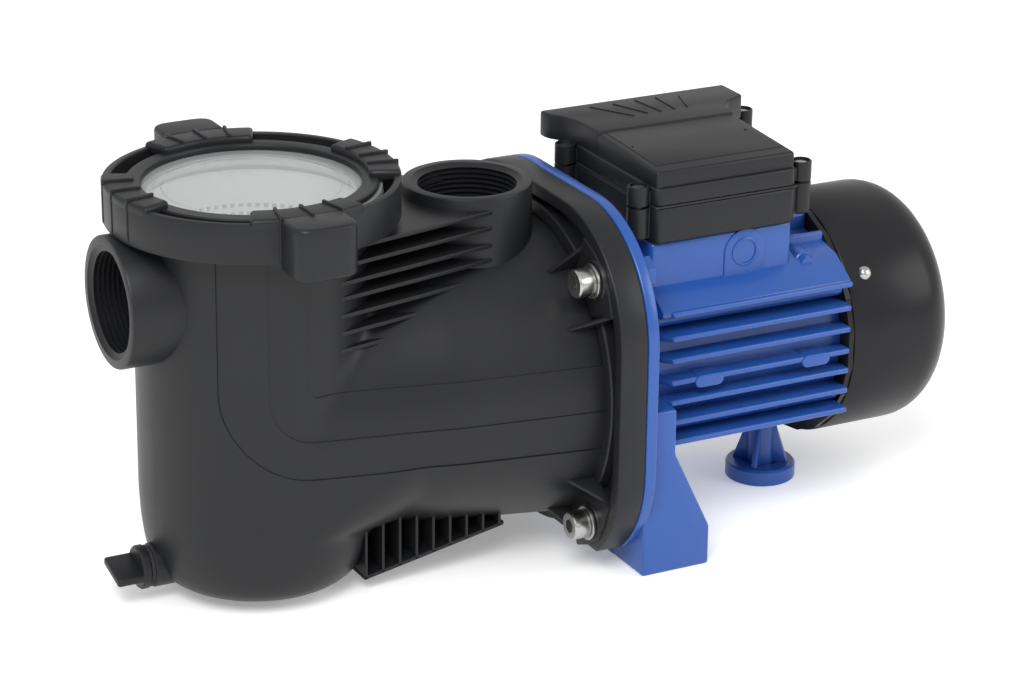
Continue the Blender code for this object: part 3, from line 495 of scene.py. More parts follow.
def melted(obj, rounds):
    remesh = obj.modifiers.new("remesh", "REMESH")
    remesh.mode = "VOXEL"
    remesh.voxel_size = VOXEL * MM
    smooth = obj.modifiers.new("smooth", "SMOOTH")
    smooth.factor = 0.5
    smooth.iterations = rounds
    return applied(obj)


melted(body, rounds=14)
print("moulding faces", len(body.data.polygons))

# %% [markdown]
# Three nested steps run down the pot and turn along the barrel, each half a millimetre lower
# than the last. A step is cut with a prism in the shape of a rounded L. The body itself, drawn in
# by the step's depth, is first taken out of the prism, so the cut follows every curve of the surface.

# %% Step lines
# Each row of STEP_LINES: edge from the pot's axis, height of the run, corner radius, fall per mm.
STEP_DEPTH, STEP_TOP, STEP_END, STAGGER, PRISM_HALF = 0.55, 172.6, 208.5, 0.3, 95
STEP_LINES = ((-34.6, 67.0, 42.0, 0.029), (-15.0, 84.3, 22.0, 0.016), (2.5, 104.4, 6.0, 0.011))
drawn_in = []
for number in range(1, len(STEP_LINES) + 1):
    core = bpy.data.objects.new("core", body.data.copy())
    bpy.context.scene.collection.objects.link(core)
    shrink = core.modifiers.new("shrink", "DISPLACE")
    shrink.mid_level = 0
    shrink.strength = -STEP_DEPTH * number * MM
    drawn_in.append(melted(core, rounds=4))
for number, (edge_x, edge_z, corner, fall) in enumerate(STEP_LINES):
    edge_x += POT_X
    end, top = STEP_END - STAGGER * number, STEP_TOP - STAGGER * number
    outline = [(edge_x, top)]
    for step in range(19):
        a = math.radians(180 + 5 * step)
        outline.append((edge_x + corner * (1 + math.cos(a)), edge_z + corner * (1 + math.sin(a))))
    outline += [(end, edge_z - fall * (end - edge_x - corner)), (end, top)]
    prism = raw("prism", plate(outline, -PRISM_HALF, PRISM_HALF, "Y", 0))
    carved(prism, drawn_in[number])
    carved(body, prism)
    dropped(prism)
dropped(*drawn_in)
print("stepped faces", len(body.data.polygons))

# %% [markdown]
# The hollows follow: the pot, the inlet, the impeller's chamber and the outlet. Each is a turned
# solid that an exact Boolean takes away, so the pump can be looked into when its lid is off.

# %% Hollows
hollow = [(0, 190), (49, 190), (49, 47), (46.5, 24), (36, 10.5), (0, 9.5)]
cavity = raw("hollow", lathe(hollow, POT_AT, "Z", 96))
SUCTION_AT, DISCHARGE_AT = (0, 0, SUCTION_Z), (DISCHARGE_X, 0, 0)
inlet = raw("inlet", cylinder(PORT_BORE_R, -5, POT_X, SUCTION_AT, "X", 64))
chamber = raw("chamber", lathe([(0, 230), (65, 230), (61, 141), (0, 141)], AXIS_AT, "X", 64))
outlet = raw("outlet", cylinder(PORT_BORE_R, AXIS_Z, 190, DISCHARGE_AT, "Z", 64))
carved(body, cavity, inlet, chamber, outlet)
print("hollow body faces", len(body.data.polygons))

# %% [markdown]
# The two ports carry an inside pipe thread with a pitch of 2.309 mm. Each is a thick tube
# whose inner profile steps in and out once for every turn of the thread.

# %% Threaded ports
PITCH_MM = 2.309
TURNS = 7
CREST = ((1.7, 0.4), (0.1, 1.1), (0.1, 1.4), (1.7, 2.1))


def port(depth, at, axis, sign):
    inner = [(PORT_BORE_R + 2.4, 0.5)]
    for turn_no in range(TURNS):
        start = 0.7 + PITCH_MM * turn_no
        inner += [(PORT_BORE_R + deep, start + along) for deep, along in CREST]
    inner += [(PORT_BORE_R, start + 3), (PORT_BORE_R, depth)]
    lip = [(PORT_BORE_R + 2.8, 0), (PORT_R - 1.2, 0), (PORT_R - 0.35, 0.35), (PORT_R, 1.2), (PORT_R, depth)]
    profile = [(r, sign * h) for r, h in lip + inner[::-1]]
    return lathe(profile, at, axis, 96)


suction = carved(raw("suction", port(34, SUCTION_AT, "X", 1)), cavity)
discharge = carved(raw("discharge", port(38, (DISCHARGE_X, 0, DISCHARGE_TOP), "Z", -1)), chamber)
print("thread turns in each port", TURNS)

# %% [markdown]
# The flange is a rounded square with a flat foot. Its rim stands proud of the web, with a
# channel behind it. Both outlines come from one function, so the motor's plate can use it too.

# %% Flange outline


def rounded_square(half, corner, flat, pieces=14):
    inset = half - corner
    points = []
    for quarter, (sy, sz) in enumerate(((1, 1), (-1, 1), (-1, -1), (1, -1))):
        for step in range(pieces + 1):
            a = math.radians(90 * quarter + 90 * step / pieces)
            points.append((sy * inset + corner * math.cos(a), AXIS_Z + sz * inset + corner * math.sin(a)))
    kept = []
    for i, (y, z) in enumerate(points):
        py, pz = points[i - 1]
        if (pz > flat) != (z > flat):
            share = (flat - pz) / (z - pz)
            kept.append((py + share * (y - py), flat))
        if z > flat:
            kept.append((y, z))
    return kept


def rim(outer, inner, low, high, axis="X"):
    bm = bmesh.new()
    loops = [[bm.verts.new((a, b, h)) for a, b in line] for line, h in
             ((outer, low), (outer, high), (inner, high), (inner, low))]
    for first, second in zip(loops, loops[1:] + loops[:1]):
        for i in range(len(first)):
            j = (i + 1) % len(first)
            bm.faces.new((first[i], first[j], second[j], second[i]))
    bmesh.ops.recalc_face_normals(bm, faces=bm.faces)
    soften(bm, 0.7, 1.0, 3)
    bm.transform(STAND[axis])
    return bm


def shrunk(outline, share):
    return [(y * share, AXIS_Z + (z - AXIS_Z) * share) for y, z in outline]


FLANGE_CORNER, FLANGE_FLAT = 57, 11
OUTLINE = rounded_square(FLANGE_HALF, FLANGE_CORNER, FLANGE_FLAT)
INNER, MIDDLE = shrunk(OUTLINE, 0.925), shrunk(OUTLINE, 0.96)
BOLTS = [(middle(f"body_bolt_{i}", 1), middle(f"body_bolt_{i}", 2)) for i in (1, 2, 3, 4)]
print("flange outline points", len(OUTLINE))

# %% [markdown]
# Each bolt has its own boss on a wide pad, with a V of two gussets that lean on the barrel. The holes
# are cut from the web and the pads before all of it is joined, while each is still a clean solid.

# %% Web, bosses and gussets
HOLE_R = 4.4
BOSS = [(9.8, 215), (9.5, 205.6), (8.8, 204.7), (HOLE_R, 204.7), (HOLE_R, 215)]
GUSSET = [(191, 66), (209, 66), (209, 90), (205.6, 84)]
bolt_holes = raw("bolt_holes", *[cylinder(HOLE_R, 200, 240, (0, y, z), "X", 24) for y, z in BOLTS])
web = carved(raw("web", plate(MIDDLE, 213, FLANGE_REAR - 0.2, "X", 0.4)), chamber, bolt_holes)
flange = [rim(OUTLINE, INNER, 206.5, FLANGE_REAR)]
flange.append(lathe([(76.5, 213.5), (76.5, 208), (75.8, 207.2), (71, 207), (71, 213.5)], AXIS_AT, "X", 128))
# Each corner of PAD: distance from the shaft, and degrees from the bolt's own heading.
PAD = ((71, -9), (90, -13), (93, -6), (94, 0), (93, 6), (90, 13), (71, 9))
pads = []
for y, z in BOLTS:
    flange.append(lathe(BOSS, (0, y, z), "X", 40))
    heading = math.degrees(math.atan2(z - AXIS_Z, y))
    corner = [(r, math.radians(heading + lean)) for r, lean in PAD]
    pads.append(plate([(r * math.cos(a), AXIS_Z + r * math.sin(a)) for r, a in corner], 205.4, 214, "X", 0.7))
    for lean in (-12, 12):
        gusset = plate(GUSSET, -0.9, 0.9, "Z", 0.4)
        gusset.transform(Matrix.Translation(AXIS_AT) @ Matrix.Rotation(math.radians(heading + lean), 4, "X"))
        flange.append(gusset)
pads = carved(raw("pads", *pads), bolt_holes)
print("bosses", len(BOLTS))

# %% [markdown]
# Thin shelves join the pot to the outlet neck, one above the other, and a row of upright
# fins stiffens the belly. The fins are one plate repeated along a rising line.

# %% Ribs
SHELVES = (122, 130, 138, 146, 153, 161, 168.5)
shelf = [(72, -50), (79, -49.6), (88, -47), (130, -38.5), (171, -PORT_R)]
shelf += [(x, -y) for x, y in shelf[::-1]]
shelves = raw("shelves", *[plate(shelf, z - 1, z + 1, "Z", 0.35) for z in SHELVES])
spine = raw("spine", bar(113, 153, -3, 3, 110, 168, 0.4))
FIN_COUNT, FIN_PITCH, FIN_RISE, FIN_HALF = 9, 8.4, 0.2, 38
slope = [(103.6, 6), (174, 19.7), (174, 21.6), (103.6, 8)]
slope = raw("slope", plate(slope, -FIN_HALF, FIN_HALF, "Y", 0.5))
fin = bar(103.8, 105.2, -FIN_HALF, FIN_HALF, 6.3, 37, 0.3)
fins = repeated(fin, "fins", FIN_COUNT, BLACK, step=(FIN_PITCH, 0, FIN_PITCH * FIN_RISE))
boss = lathe([(0, 27), (10, 27), (10, 16), (9.2, 15.1), (0, 15.1)], (0, 0, 16), "X", 40)
for part in (shelves, spine, fins, slope):
    carved(part, cavity, chamber, outlet)
dropped(cavity, inlet, chamber, outlet)
crisp = raw("crisp_mouldings", *flange, boss)
joined(body, suction, discharge, web, pads, shelves, spine, fins, slope, crisp)
piece(body, BLACK, "housing", "pump_body", angle=40)
print("body faces", len(body.data.polygons))

# %% [markdown]
# ## Lid, ring and basket
# The clear lid shows the basket below. The locking ring is a turned wall and a turned lip, with a gap
# between them that four ribbed grips bridge. Two lugs give the hands something to pull on. The grip
# ridges are one small bar turned about the pot's axis, so all of them stay alike.

# %% Locking ring
RING_R, RING_TOP, RING_LOW = 65.2, 191.3, 173.5
FACE = LID_TOP + 0.3
GRIP_TOP, GRIP_HALF_DEG, LUG_TOP, RIDGE_DEG = 193.4, 24, 193.5, 12.5
wall = [(RING_R - 0.8, RING_TOP), (RING_R - 0.2, RING_TOP - 0.3), (RING_R, RING_TOP - 1)]
wall += [(RING_R, RING_LOW + 1), (RING_R - 0.5, RING_LOW), (62.3, RING_LOW)]
wall += [(61.8, RING_LOW + 0.5), (61.8, RING_TOP - 0.6), (62.4, RING_TOP)]
lip = [(54.9, 190.3), (55.5, 189.7), (55.5, FACE), (48, FACE), (48, 189.4), (48.3, 190), (49, 190.3)]
shapes = [lathe(wall, POT_AT, "Z", 160), lathe(lip, POT_AT, "Z", 160)]
for quarter in range(4):
    arc = []
    for radius, sign in ((RING_R + 0.05, 1), (51, -1)):
        for step in range(25):
            a = math.radians(90 * quarter + sign * GRIP_HALF_DEG * (step / 12 - 1))
            arc.append((POT_X + radius * math.cos(a), radius * math.sin(a)))
    shapes.append(plate(arc, FACE + 0.2, GRIP_TOP, "Z", 2.0, 4))
LUG_LOW, LUG_R = span("lid_ring", 2)[0], span("lid_ring", 1)[1]
lug = [(-14.5, 63), (14.5, 63), (14.5, LUG_R - 6), (13.4, LUG_R - 2.6), (10, LUG_R - 0.4)]
lug += [(5, LUG_R), (-5, LUG_R), (-10, LUG_R - 0.4), (-13.4, LUG_R - 2.6), (-14.5, LUG_R - 6)]
for side in (-1, 1):
    shapes.append(plate([(POT_X + x * side, y * side) for x, y in lug], LUG_LOW, LUG_TOP, "Z", 2.6, 4))
ring = raw("locking_ring", *shapes)
ridges = []
for quarter in range(4):
    over_top = bar(51.4, RING_R + 0.4, -0.8, 0.8, 189, 194.5, 0.6)
    down_side = bar(63, RING_R + 0.4, -0.8, 0.8, 175, 192, 0.3)
    for tooth in (over_top, down_side):
        turned(tooth, 90 * quarter - RIDGE_DEG)
        tooth.transform(Matrix.Translation(POT_AT))
        ridges.append(repeated(tooth, "grip_ridges", 3, BLACK, turn_deg=(0, 0, RIDGE_DEG), about=POT_AT))
joined(ring, *ridges)
piece(ring, BLACK, "lid_ring", "lid_ring")
print("ring faces", len(ring.data.polygons))

# %% [markdown]
# The lid is a clear disc with a spigot that drops into the pot and a shallow groove in its top. It is
# turned in one profile. Its shader has a low Alpha instead of refraction, which keeps the render quick.

# %% Clear lid
LOW = span("strainer_lid", 2)[0] + 3
lid_side = [(0, LID_TOP), (39, LID_TOP), (39.6, LID_TOP - 0.7), (42.4, LID_TOP - 0.7), (43, LID_TOP)]
lid_side += [(57, LID_TOP), (57.3, LOW + 0.3), (57, LOW), (48.5, LOW), (48.5, LOW - 3), (46, LOW - 3)]
lid_side += [(46, LOW), (0, LOW)]
piece(raw("clear_lid", lathe(lid_side, POT_AT, "Z", 128)), CLEAR, "lid", "strainer_lid")
print("lid thickness", round(LID_TOP - LOW, 2), "mm")

# %% [markdown]
# The basket is a thin cup full of small square holes. Its wall is a grid of faces with every
# second face left out in both directions, and a Solidify modifier gives the rest a thickness.
# The way in from the suction port is cut last.

# %% Basket
floor_z, top_z = span("strainer_basket", 2)
HOLES_ROUND, HOLE_ROWS, BAR_SHARE = 72, 36, 0.45
WALL_TOP, WALL_LOW = (44.9, 166.0), (40.0, 24.0)
levels = [(45.4, top_z - 2, False)]
for row in range(HOLE_ROWS):
    for share, holed in ((row, False), (row + BAR_SHARE, True)):
        share /= HOLE_ROWS
        levels.append((WALL_TOP[0] + share * (WALL_LOW[0] - WALL_TOP[0]),
                       WALL_TOP[1] + share * (WALL_LOW[1] - WALL_TOP[1]), holed))
levels += [(*WALL_LOW, False), (38.5, 16, False), (33, floor_z, False)]
levels += [(30 - 2.4 * row, floor_z, row % 2 == 0) for row in range(9)] + [(4, floor_z, False)]
print("basket levels", len(levels))

# %% [markdown]
# A level marked as holed loses every second face. The rest is a single skin until Solidify thickens it.

# %% Basket mesh
COLUMNS = 2 * HOLES_ROUND
angles = [math.tau * (i // 2 + BAR_SHARE * (i % 2)) / HOLES_ROUND for i in range(COLUMNS)]
headings = [(math.cos(a), math.sin(a)) for a in angles]
grid = bmesh.new()
rings = []
for radius, height, _ in levels:
    rings.append([grid.verts.new((POT_X + radius * c, radius * s, height)) for c, s in headings])
for upper, lower, (_, _, holed) in zip(rings, rings[1:], levels):
    for i in range(COLUMNS):
        j = (i + 1) % COLUMNS
        if not (holed and i % 2):
            grid.faces.new((upper[i], lower[i], lower[j], upper[j]))
grid.faces.new(rings[-1])
bmesh.ops.recalc_face_normals(grid, faces=grid.faces)
basket = raw("strainer_cup", grid)
thicken = basket.modifiers.new("thicken", "SOLIDIFY")
thicken.thickness = 1.6 * MM
thicken.offset = -1
applied(basket)
way_in = raw("way_in", cylinder(PORT_BORE_R, 0, POT_X, SUCTION_AT, "X", 48))
carved(basket, way_in)
dropped(way_in)
brim = [(48.7, top_z), (48.7, top_z - 2), (43.8, top_z - 2.2), (43.8, top_z)]
ledge = [(45, 168.8), (45, 167.2), (43.4, 167.2), (43.4, 168.8)]
joined(basket, raw("brim", lathe(brim, POT_AT, "Z", 96), lathe(ledge, POT_AT, "Z", 96)))
# The basket's finish is a mid grey, darker than the white plastic it is made of: painted shade for the shade
# inside the pot under the lid.
BASKET_PAINTED_SHADE = finish("basket_painted_shade", (0.52, 0.52, 0.51), (0.60, 0.60, 0.59), 0.40)
piece(basket, BASKET_PAINTED_SHADE, "housing", "strainer_basket")
print("basket faces", len(basket.data.polygons))

# %% [markdown]
# ## Drain plug
# A turned head with a flat wing to grip, leaned a little as the last hand left it. The wing is a
# rounded bar turned about the plug's own axis, because the plug itself turns about it.

# %% Drain plug
DRAIN_AT = (0, 0, middle("drain_seal", 2))
WING_DEG = 14
WING_TIP = span("drain_plug", 0)[0]
head = [(0, 22), (6, 22), (6, 13.1), (9.4, 13.1), (10, 12.5), (10, 10), (9.2, 9.1), (0, 9.1)]
head = lathe(head, DRAIN_AT, "X", 48)
wing = bar(WING_TIP, 11, -9.5, 9.5, DRAIN_AT[2] - 2, DRAIN_AT[2] + 2, 1.2, 3)
piece(raw("drain_wing", head, turned(wing, WING_DEG, DRAIN_AT, "X")), BLACK, "drain_plug", "drain_plug")
print("drain axis height", round(DRAIN_AT[2], 2))

# %% [markdown]
# ## Bolts
# Socket heads have a chamfer, a hexagon recess and a plain washer. The recess is cut with a
# six-sided prism, because six sides can't be turned.

# %% Body bolts
SHANK_R, HEAD_R, HEAD, KEY_R, KEY_DEEP = 4, 6.5, 8, 3.46, 4
for index, (y, z) in enumerate(BOLTS, 1):
    x0, x1 = span(f"body_bolt_{index}", 0)
    at = (0, y, z)
    profile = [(0, x1), (3.4, x1), (SHANK_R, x1 - 0.6), (SHANK_R, x0 + HEAD), (6.4, x0 + HEAD)]
    profile += [(HEAD_R, x0 + 7.8), (HEAD_R, x0 + 0.7), (5.9, x0), (0, x0)]
    bolt = raw(f"socket_bolt_{index}", lathe(profile, at, "X", 48))
    key = raw("key", cylinder(KEY_R, x0 - 1, x0 + KEY_DEEP, at, "X", 6))
    carved(bolt, key)
    dropped(key)
    piece(bolt, STEEL, "housing", f"body_bolt_{index}")
    x0, x1 = span(f"body_washer_{index}", 0)
    disc = [(7.9, x1), (8, x1 - 0.2), (8, x0 + 0.2), (7.8, x0), (HOLE_R, x0), (HOLE_R, x1)]
    piece(raw(f"washer_{index}", lathe(disc, at, "X", 48)), STEEL, "housing", f"body_washer_{index}")
print("bolts at", [(round(y, 1), round(z, 1)) for y, z in BOLTS])

# %% [markdown]
# ## Motor
# The motor's front plate repeats the flange's outline and stands on two legs. Each leg is a
# plate cut in side view, with its edges rounded as a casting's are.

# %% Motor flange and legs
BACK = MOTOR_FACE + 5.7
LEG_FRONT, LEG_KNEE = 224, 19
leg = [(LEG_FRONT, 0), (LEG_REAR, 0), (LEG_REAR, LEG_KNEE), (240, 58), (240, 80), (LEG_FRONT, 80)]
cheek = [(LEG_FRONT, 0), (LEG_REAR, 0), (LEG_REAR, LEG_KNEE), (243, 54), (LEG_FRONT, 54)]
legs = [plate(leg, y0, y1, "Y", 1.4, 3) for y0, y1 in ((-79, -51), (51, 79))]
legs += [plate(cheek, y0, y1, "Y", 1.0) for y0, y1 in ((-52, -45), (45, 52))]
boss = [(25, 243.5), (25, BACK - 1), (8, BACK - 1), (8, 231.6), (17.7, 231.6), (17.7, 243.5)]
boss = lathe(boss, AXIS_AT, "X", 64)
front = carved(raw("front_plate", plate(OUTLINE, MOTOR_FACE, BACK, "X", 1.0, 3)), bolt_holes)
dropped(bolt_holes)
piece(joined(front, raw("legs", boss, *legs)), BLUE, "housing", "motor_flange")
print("front plate faces", len(front.data.polygons))

# %% [markdown]
# The housing is a tube with level cooling fins down each side. The fins aren't evenly spaced, so
# they are a list of heights from the photograph instead of a repeat. Each starts with a slanted end.

# %% Motor housing and fins
FINS = (53.7, 63.6, 73.5, 83.3, 94.0, 104.7, 116.5)
TUBE_R, BORE_R, ROOT_R, FIN_TIP = 50, 44, 48.0, 59
tube = [(TUBE_R, HOUSING_END), (TUBE_R, HOUSING_X), (BORE_R, HOUSING_X), (BORE_R, HOUSING_END)]
shapes = [lathe(tube, AXIS_AT, "X", 96)]
for z in FINS:
    inner = math.sqrt(max(ROOT_R ** 2 - (z - AXIS_Z) ** 2, 0))
    fin = [(243, -inner), (245, -54), (249, -FIN_TIP), (HOUSING_END, -FIN_TIP), (HOUSING_END, -inner)]
    near = plate(fin, z - 1.4, z + 1.4, "Z", 0.9, 3)
    shapes += [flipped(near), near]
shoulder = [(-28, 131), (-44, 127), (-57.5, 118), (-57.5, 115.2), (-28, 112)]
near = plate(shoulder, 243.6, HOUSING_END, "X", 1.0)
shapes += [flipped(near), near]
PAD_FRONT, PAD_REAR, PAD_HALF = 243.7, 318.6, 45
shapes.append(bar(PAD_FRONT, PAD_REAR, -PAD_HALF, PAD_HALF, 118, 147.3, 2.4, 4))
for y, top in ((14, 138), (30, 134)):
    for side in (-y, y):
        shapes.append(bar(316, HOUSING_END, side - 1.5, side + 1.5, 118, top, 0.9, 3))
print("fins on each side", len(FINS))

# %% [markdown]
# Small features follow: two oval lands between the fins, the ring of a knock-out inside a raised arch on
# the pad, and the boss of the earth screw. The tie rods are painted with the housing, as in the photograph.

# %% Lands, knock-out and earth boss
for x, z in ((268.3, 82.2), (325.8, 82.2)):
    oval = [(x + sign * (4.5 + 3 * math.cos(math.radians(a))), z + sign * 3 * math.sin(math.radians(a)))
            for sign in (1, -1) for a in range(-90, 91, 15)]
    pad = plate(oval, -59.6, -50, "Y", 0.5)
    shapes += [flipped(pad), pad]
KNOCK_X, KNOCK_Z, ARCH_R = 293.1, 136.6, 10.8
knock = [(7.0, -44), (6.9, -46.2), (6.4, -46.4), (5.6, -46.2), (5.4, -44)]
knock = lathe(knock, (KNOCK_X, 0, KNOCK_Z), "Y", 48)
bends = [math.radians(a) for a in range(0, 181, 10)]
arch = [(KNOCK_X + ARCH_R * math.cos(a), KNOCK_Z + ARCH_R * math.sin(a)) for a in bends]
arch = plate(arch + [(KNOCK_X - ARCH_R, 121), (KNOCK_X + ARCH_R, 121)], -45.7, -44, "Y", 0.4)
earth = [(0, -25), (5.5, -25), (5.3, -42.4), (4.8, -43), (2.1, -43), (2.1, -36), (0, -36)]
earth = lathe(earth, (middle("earth_screw", 0), 0, middle("earth_screw", 2)), "Y", 32)
REPAINTED = (("earth_screw", BLUE), ("rear_shield", SATIN), ("body_nut_1", BLUE), ("body_nut_2", BLUE))
for node, paint in REPAINTED:
    frame["nodes"][node].data.materials[0] = paint
housing = raw("finned_housing", *shapes, knock, arch, earth)
piece(housing, BLUE, "housing", "motor_housing")
for index in range(1, 5):
    rod = f"tie_rod_{index}"
    x0, x1 = span(rod, 0)
    stud = [(0, x1), (2.7, x1), (3, x1 - 0.4), (3, x0 + 0.4), (2.7, x0), (0, x0)]
    stud = lathe(stud, (0, middle(rod, 1), middle(rod, 2)), "X", 24)
    piece(raw(f"stud_{index}", stud), BLUE, "housing", rod)
print("housing faces", len(housing.data.polygons))

# %% [markdown]
# ## Fan cover and its screws
# A pressed cup with a generous round at its closed end. It is turned as one thin profile, outside
# then inside, and three rounded slots are cut from its end to let the fan breathe.

# %% Fan cover
COVER_R, ROUND = 58.5, 20.0
outer = [(COVER_R - ROUND + ROUND * math.sin(a), COVER_END - ROUND + ROUND * math.cos(a))
         for a in [math.radians(9 * i) for i in range(11)]]
inner = [(r - 1.5, h - 1.0) for r, h in outer[::-1]]
cover_side = [(0, COVER_END)] + outer + [(COVER_R, COVER_FRONT + 0.6), (COVER_R - 0.4, COVER_FRONT)]
cover_side += [(COVER_R - 1.5, COVER_FRONT)] + inner + [(0, COVER_END - 1.5)]
cover = raw("fan_cup", lathe(cover_side, AXIS_AT, "X", 128))
for row in (-1, 0, 1):
    half = 30 - 6 * abs(row)
    z = AXIS_Z + 18 * row
    slot_cut = raw("slot", bar(COVER_END - 8, COVER_END + 5, -half, half, z - 2.5, z + 2.5, 2.2, 4))
    carved(cover, slot_cut)
    dropped(slot_cut)
piece(cover, SATIN, "housing", "fan_cover", angle=35)
for index, heading in enumerate((25, 145, 265), 1):
    screw = [(0, 61), (1.6, 60.9), (2.6, 60.3), (3.4, 58.8), (1.9, 58.8), (1.9, 53.5), (0, 53.5)]
    screw = turned(lathe(screw, (358, 0, AXIS_Z), "Y", 32), heading, AXIS_AT, "X")
    piece(raw(f"cover_screw_{index}", screw), STEEL, "housing", f"fan_cover_screw_{index}")
print("cover faces", len(cover.data.polygons))

# %% [markdown]
# ## Terminal box
# A base and a lid, each a box with rounded corners and four ears for the screws. Both rest on the same
# outline, so one function makes it. The gasket's box gives the height of the split between them.

# %% Terminal box base


def soft_box(x0, x1, y0, y1, z0, z1, corner=4.0, edge=1.2):
    outline = []
    centres = ((x1 - corner, y1 - corner), (x0 + corner, y1 - corner), (x0 + corner, y0 + corner),
               (x1 - corner, y0 + corner))
    for quarter, (cx, cy) in enumerate(centres):
        for step in range(6):
            a = math.radians(90 * quarter + 18 * step)
            outline.append((cx + corner * math.cos(a), cy + corner * math.sin(a)))
    return plate(outline, z0, z1, "Z", edge, 3)


BOX_TOP = span("box_gasket", 2)[0] - 0.2
LID_BASE = span("box_gasket", 2)[1] + 0.2
EARS = [(middle(f"box_screw_{i}", 0), middle(f"box_screw_{i}", 1)) for i in (1, 2, 3, 4)]
BOX_HALF, BOX_MID, BOX_LOW, EAR_LOW = 48, 281, 147.6, 149.5
base = [soft_box(PAD_FRONT, PAD_REAR, -BOX_HALF, BOX_HALF, BOX_LOW, BOX_TOP)]
for x, y in EARS:
    ear = [(0, BOX_TOP), (5, BOX_TOP), (5, 150.5), (4, EAR_LOW), (0, EAR_LOW)]
    base.append(lathe(ear, (x, y, 0), "Z", 32))
    base.append(bar(min(x, BOX_MID), max(x, BOX_MID), y - 3, y + 3, EAR_LOW, BOX_TOP, 0.5))
piece(raw("box_base", *base), BLACK, "housing", "terminal_box")
print("height of the base", round(BOX_TOP - BOX_LOW, 2))

# %% [markdown]
# The lid's hood slopes towards the front and carries a slightly raised panel with two pin marks. The
# marks are cut while the hood and the panel are still single solids. A strip along the back is
# higher, flares at both ends and has five slanted lines.

# %% Terminal box lid
lid = [soft_box(PAD_FRONT, PAD_REAR, -BOX_HALF, BOX_HALF, LID_BASE, 173.8, 4, 0.8)]
hood = [(-46.6, 172), (-46.6, 181.4), (9, 184.1), (20, 184.3), (20, 172)]
pins = raw("pins", *[cylinder(0.8, 178, 190, (x, -13.6, 0), "Z", 12) for x in (250.6, 310.7)])
cap = carved(raw("cap", plate(hood, 244.8, 317.4, "X", 1.4, 3)), pins)
panel = [(-38.8, 181), (-38.8, 182.1), (9, 184.4), (9, 183)]
panel = carved(raw("panel", plate(panel, 248.6, 315.4, "X", 0.25)), pins)
dropped(pins)
strip = [(244.6, 8), (317.6, 8), (320, 20), (325, 25.5), (336, 31), (336, 49.5), (236.2, 49.5)]
strip += [(236.2, 45), (237.6, 41), (241, 36.5), (243.6, 30), (244.6, 22)]
lid.append(plate(strip, 172.8, 185, "Z", 1.2, 3))
FAN_LINES = (((271.9, 22.8), (260, 43.5)), ((279.8, 23.8), (272.3, 43.2)), ((287, 23.6), (284.7, 44.4)),
             ((294.9, 24.4), (295.9, 44.2)), ((301.8, 24.4), (307.6, 42.4)))
for (x0, y0), (x1, y1) in FAN_LINES:
    line = [(x0 - 0.5, y0), (x0 + 0.5, y0), (x1 + 0.5, y1), (x1 - 0.5, y1)]
    lid.append(plate(line, 184.4, 185.5, "Z", 0.2))
for index, (x, y) in enumerate(EARS, 1):
    top = span(f"box_screw_{index}", 2)[1]
    cup_side = [(4.6, top), (5, top - 0.4), (5, LID_BASE), (0, LID_BASE)]
    cup_side += [(0, top - 2.8), (4, top - 2.8), (4, top)]
    lid.append(lathe(cup_side, (x, y, 0), "Z", 32))
    lid.append(bar(min(x, BOX_MID), max(x, BOX_MID), y - 3, y + 3, LID_BASE, 172, 0.5))
piece(joined(raw("box_cover", *lid), cap, panel), BLACK, "housing", "terminal_box_lid")
print("lines on the strip", len(FAN_LINES))

# %% [markdown]
# The lid's screws have low domed heads, sunk a little below the rims of their ears. Each is turned
# from one profile between the heights of its solid's box.

# %% Lid screws
SUNK = 0.8
for index, (x, y) in enumerate(EARS, 1):
    z0, z1 = span(f"box_screw_{index}", 2)
    z1 -= SUNK
    screw = [(0, z1), (2.6, z1 - 0.1), (3.4, z1 - 0.7), (3.6, z1 - 2), (1.9, z1 - 2), (1.9, z0), (0, z0)]
    screw = raw(f"lid_screw_{index}", lathe(screw, (x, y, 0), "Z", 32))
    piece(screw, STEEL, "housing", f"box_screw_{index}")
print("lid screws", len(EARS))

# %% [markdown]
# ## Rear foot
# A round pad under the motor, with a stem and four gussets. Disc and stem are turned, and two plates
# that cross at the axis make the four gussets.

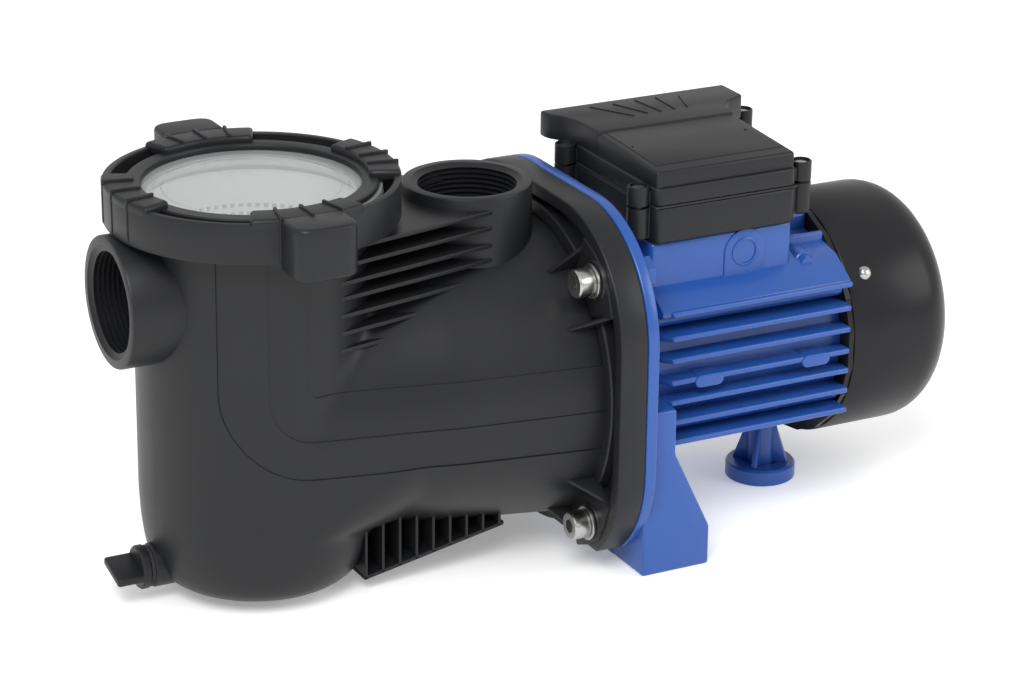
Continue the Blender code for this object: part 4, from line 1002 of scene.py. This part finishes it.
# %% Rear foot
FOOT_AT = (middle("rear_foot", 0), 0, 0)
disc = lathe([(16, 8), (17, 7), (17, 0.6), (16.4, 0), (6, 0), (6, 7), (9, 7), (9, 8)], FOOT_AT, "Z", 64)
stem = lathe([(6.5, 32.7), (6.5, 7), (3.3, 7), (3.3, 32.7)], FOOT_AT, "Z", 48)
gussets = []
for heading in (45, 135):
    fin = plate([(-14, 7), (14, 7), (6.5, 28.7), (-6.5, 28.7)], -1.4, 1.4, "Y", 0.5)
    turned(fin, heading)
    fin.transform(Matrix.Translation(FOOT_AT))
    gussets.append(fin)
piece(raw("rear_pad", disc, stem, *gussets), BLUE, "housing", "rear_foot")
print("foot at x =", round(FOOT_AT[0], 2))

# %% [markdown]
# ## Studio
# The studio is a wide pale floor under a bright, even sky. The floor is flat, so that the pump can
# be looked at from every side with nothing in the way. A faint glow keeps it near white.

# %% Floor
FLOOR_HALF, FLOOR_GLOW = 6.0, 0.25
bm = bmesh.new()
corners = ((-1, -1), (1, -1), (1, 1), (-1, 1))
bm.faces.new([bm.verts.new((x * FLOOR_HALF, y * FLOOR_HALF, 0)) for x, y in corners])
mesh = bpy.data.meshes.new("floor")
bm.to_mesh(mesh)
bm.free()
floor = bpy.data.objects.new("floor", mesh)
bpy.context.scene.collection.objects.link(floor)
pale = bpy.data.materials.new("pale_floor")
pale.use_nodes = True
shader = pale.node_tree.nodes["Principled BSDF"]
shader.inputs["Base Color"].default_value = (0.93, 0.93, 0.93, 1)
shader.inputs["Roughness"].default_value = 0.9
shader.inputs["Emission Color"].default_value = (1, 1, 1, 1)
shader.inputs["Emission Strength"].default_value = FLOOR_GLOW
floor.data.materials.append(pale)
print("floor", 2 * FLOOR_HALF, "m wide")

# %% [markdown]
# The sky gives light from all sides. A wide lamp stands near the camera, with a weaker one to its
# right, and both point at the pump. Wide lamps make soft edges to the shadows.

# %% Sky and lamps
SKY = 0.75
world = bpy.data.worlds.new("studio")
bpy.context.scene.world = world
world.use_nodes = True
sky = world.node_tree.nodes["Background"]
sky.inputs["Color"].default_value = (1, 1, 1, 1)
sky.inputs["Strength"].default_value = SKY


def lamp(name, at, size, power):
    light = bpy.data.lights.new(name, "AREA")
    light.size = size
    light.energy = power
    obj = bpy.data.objects.new(name, light)
    obj.location = at
    obj.rotation_euler = (Vector((0, 0, 0.1)) - Vector(at)).to_track_quat("-Z", "Y").to_euler()
    bpy.context.scene.collection.objects.link(obj)


lamp("key", (-0.9, -1.1, 1.5), 0.9, 26)
lamp("fill", (1.3, -1.2, 0.9), 1.0, 10)
bpy.context.scene.view_settings.view_transform = "Standard"
print("lamps", len(bpy.data.lights))
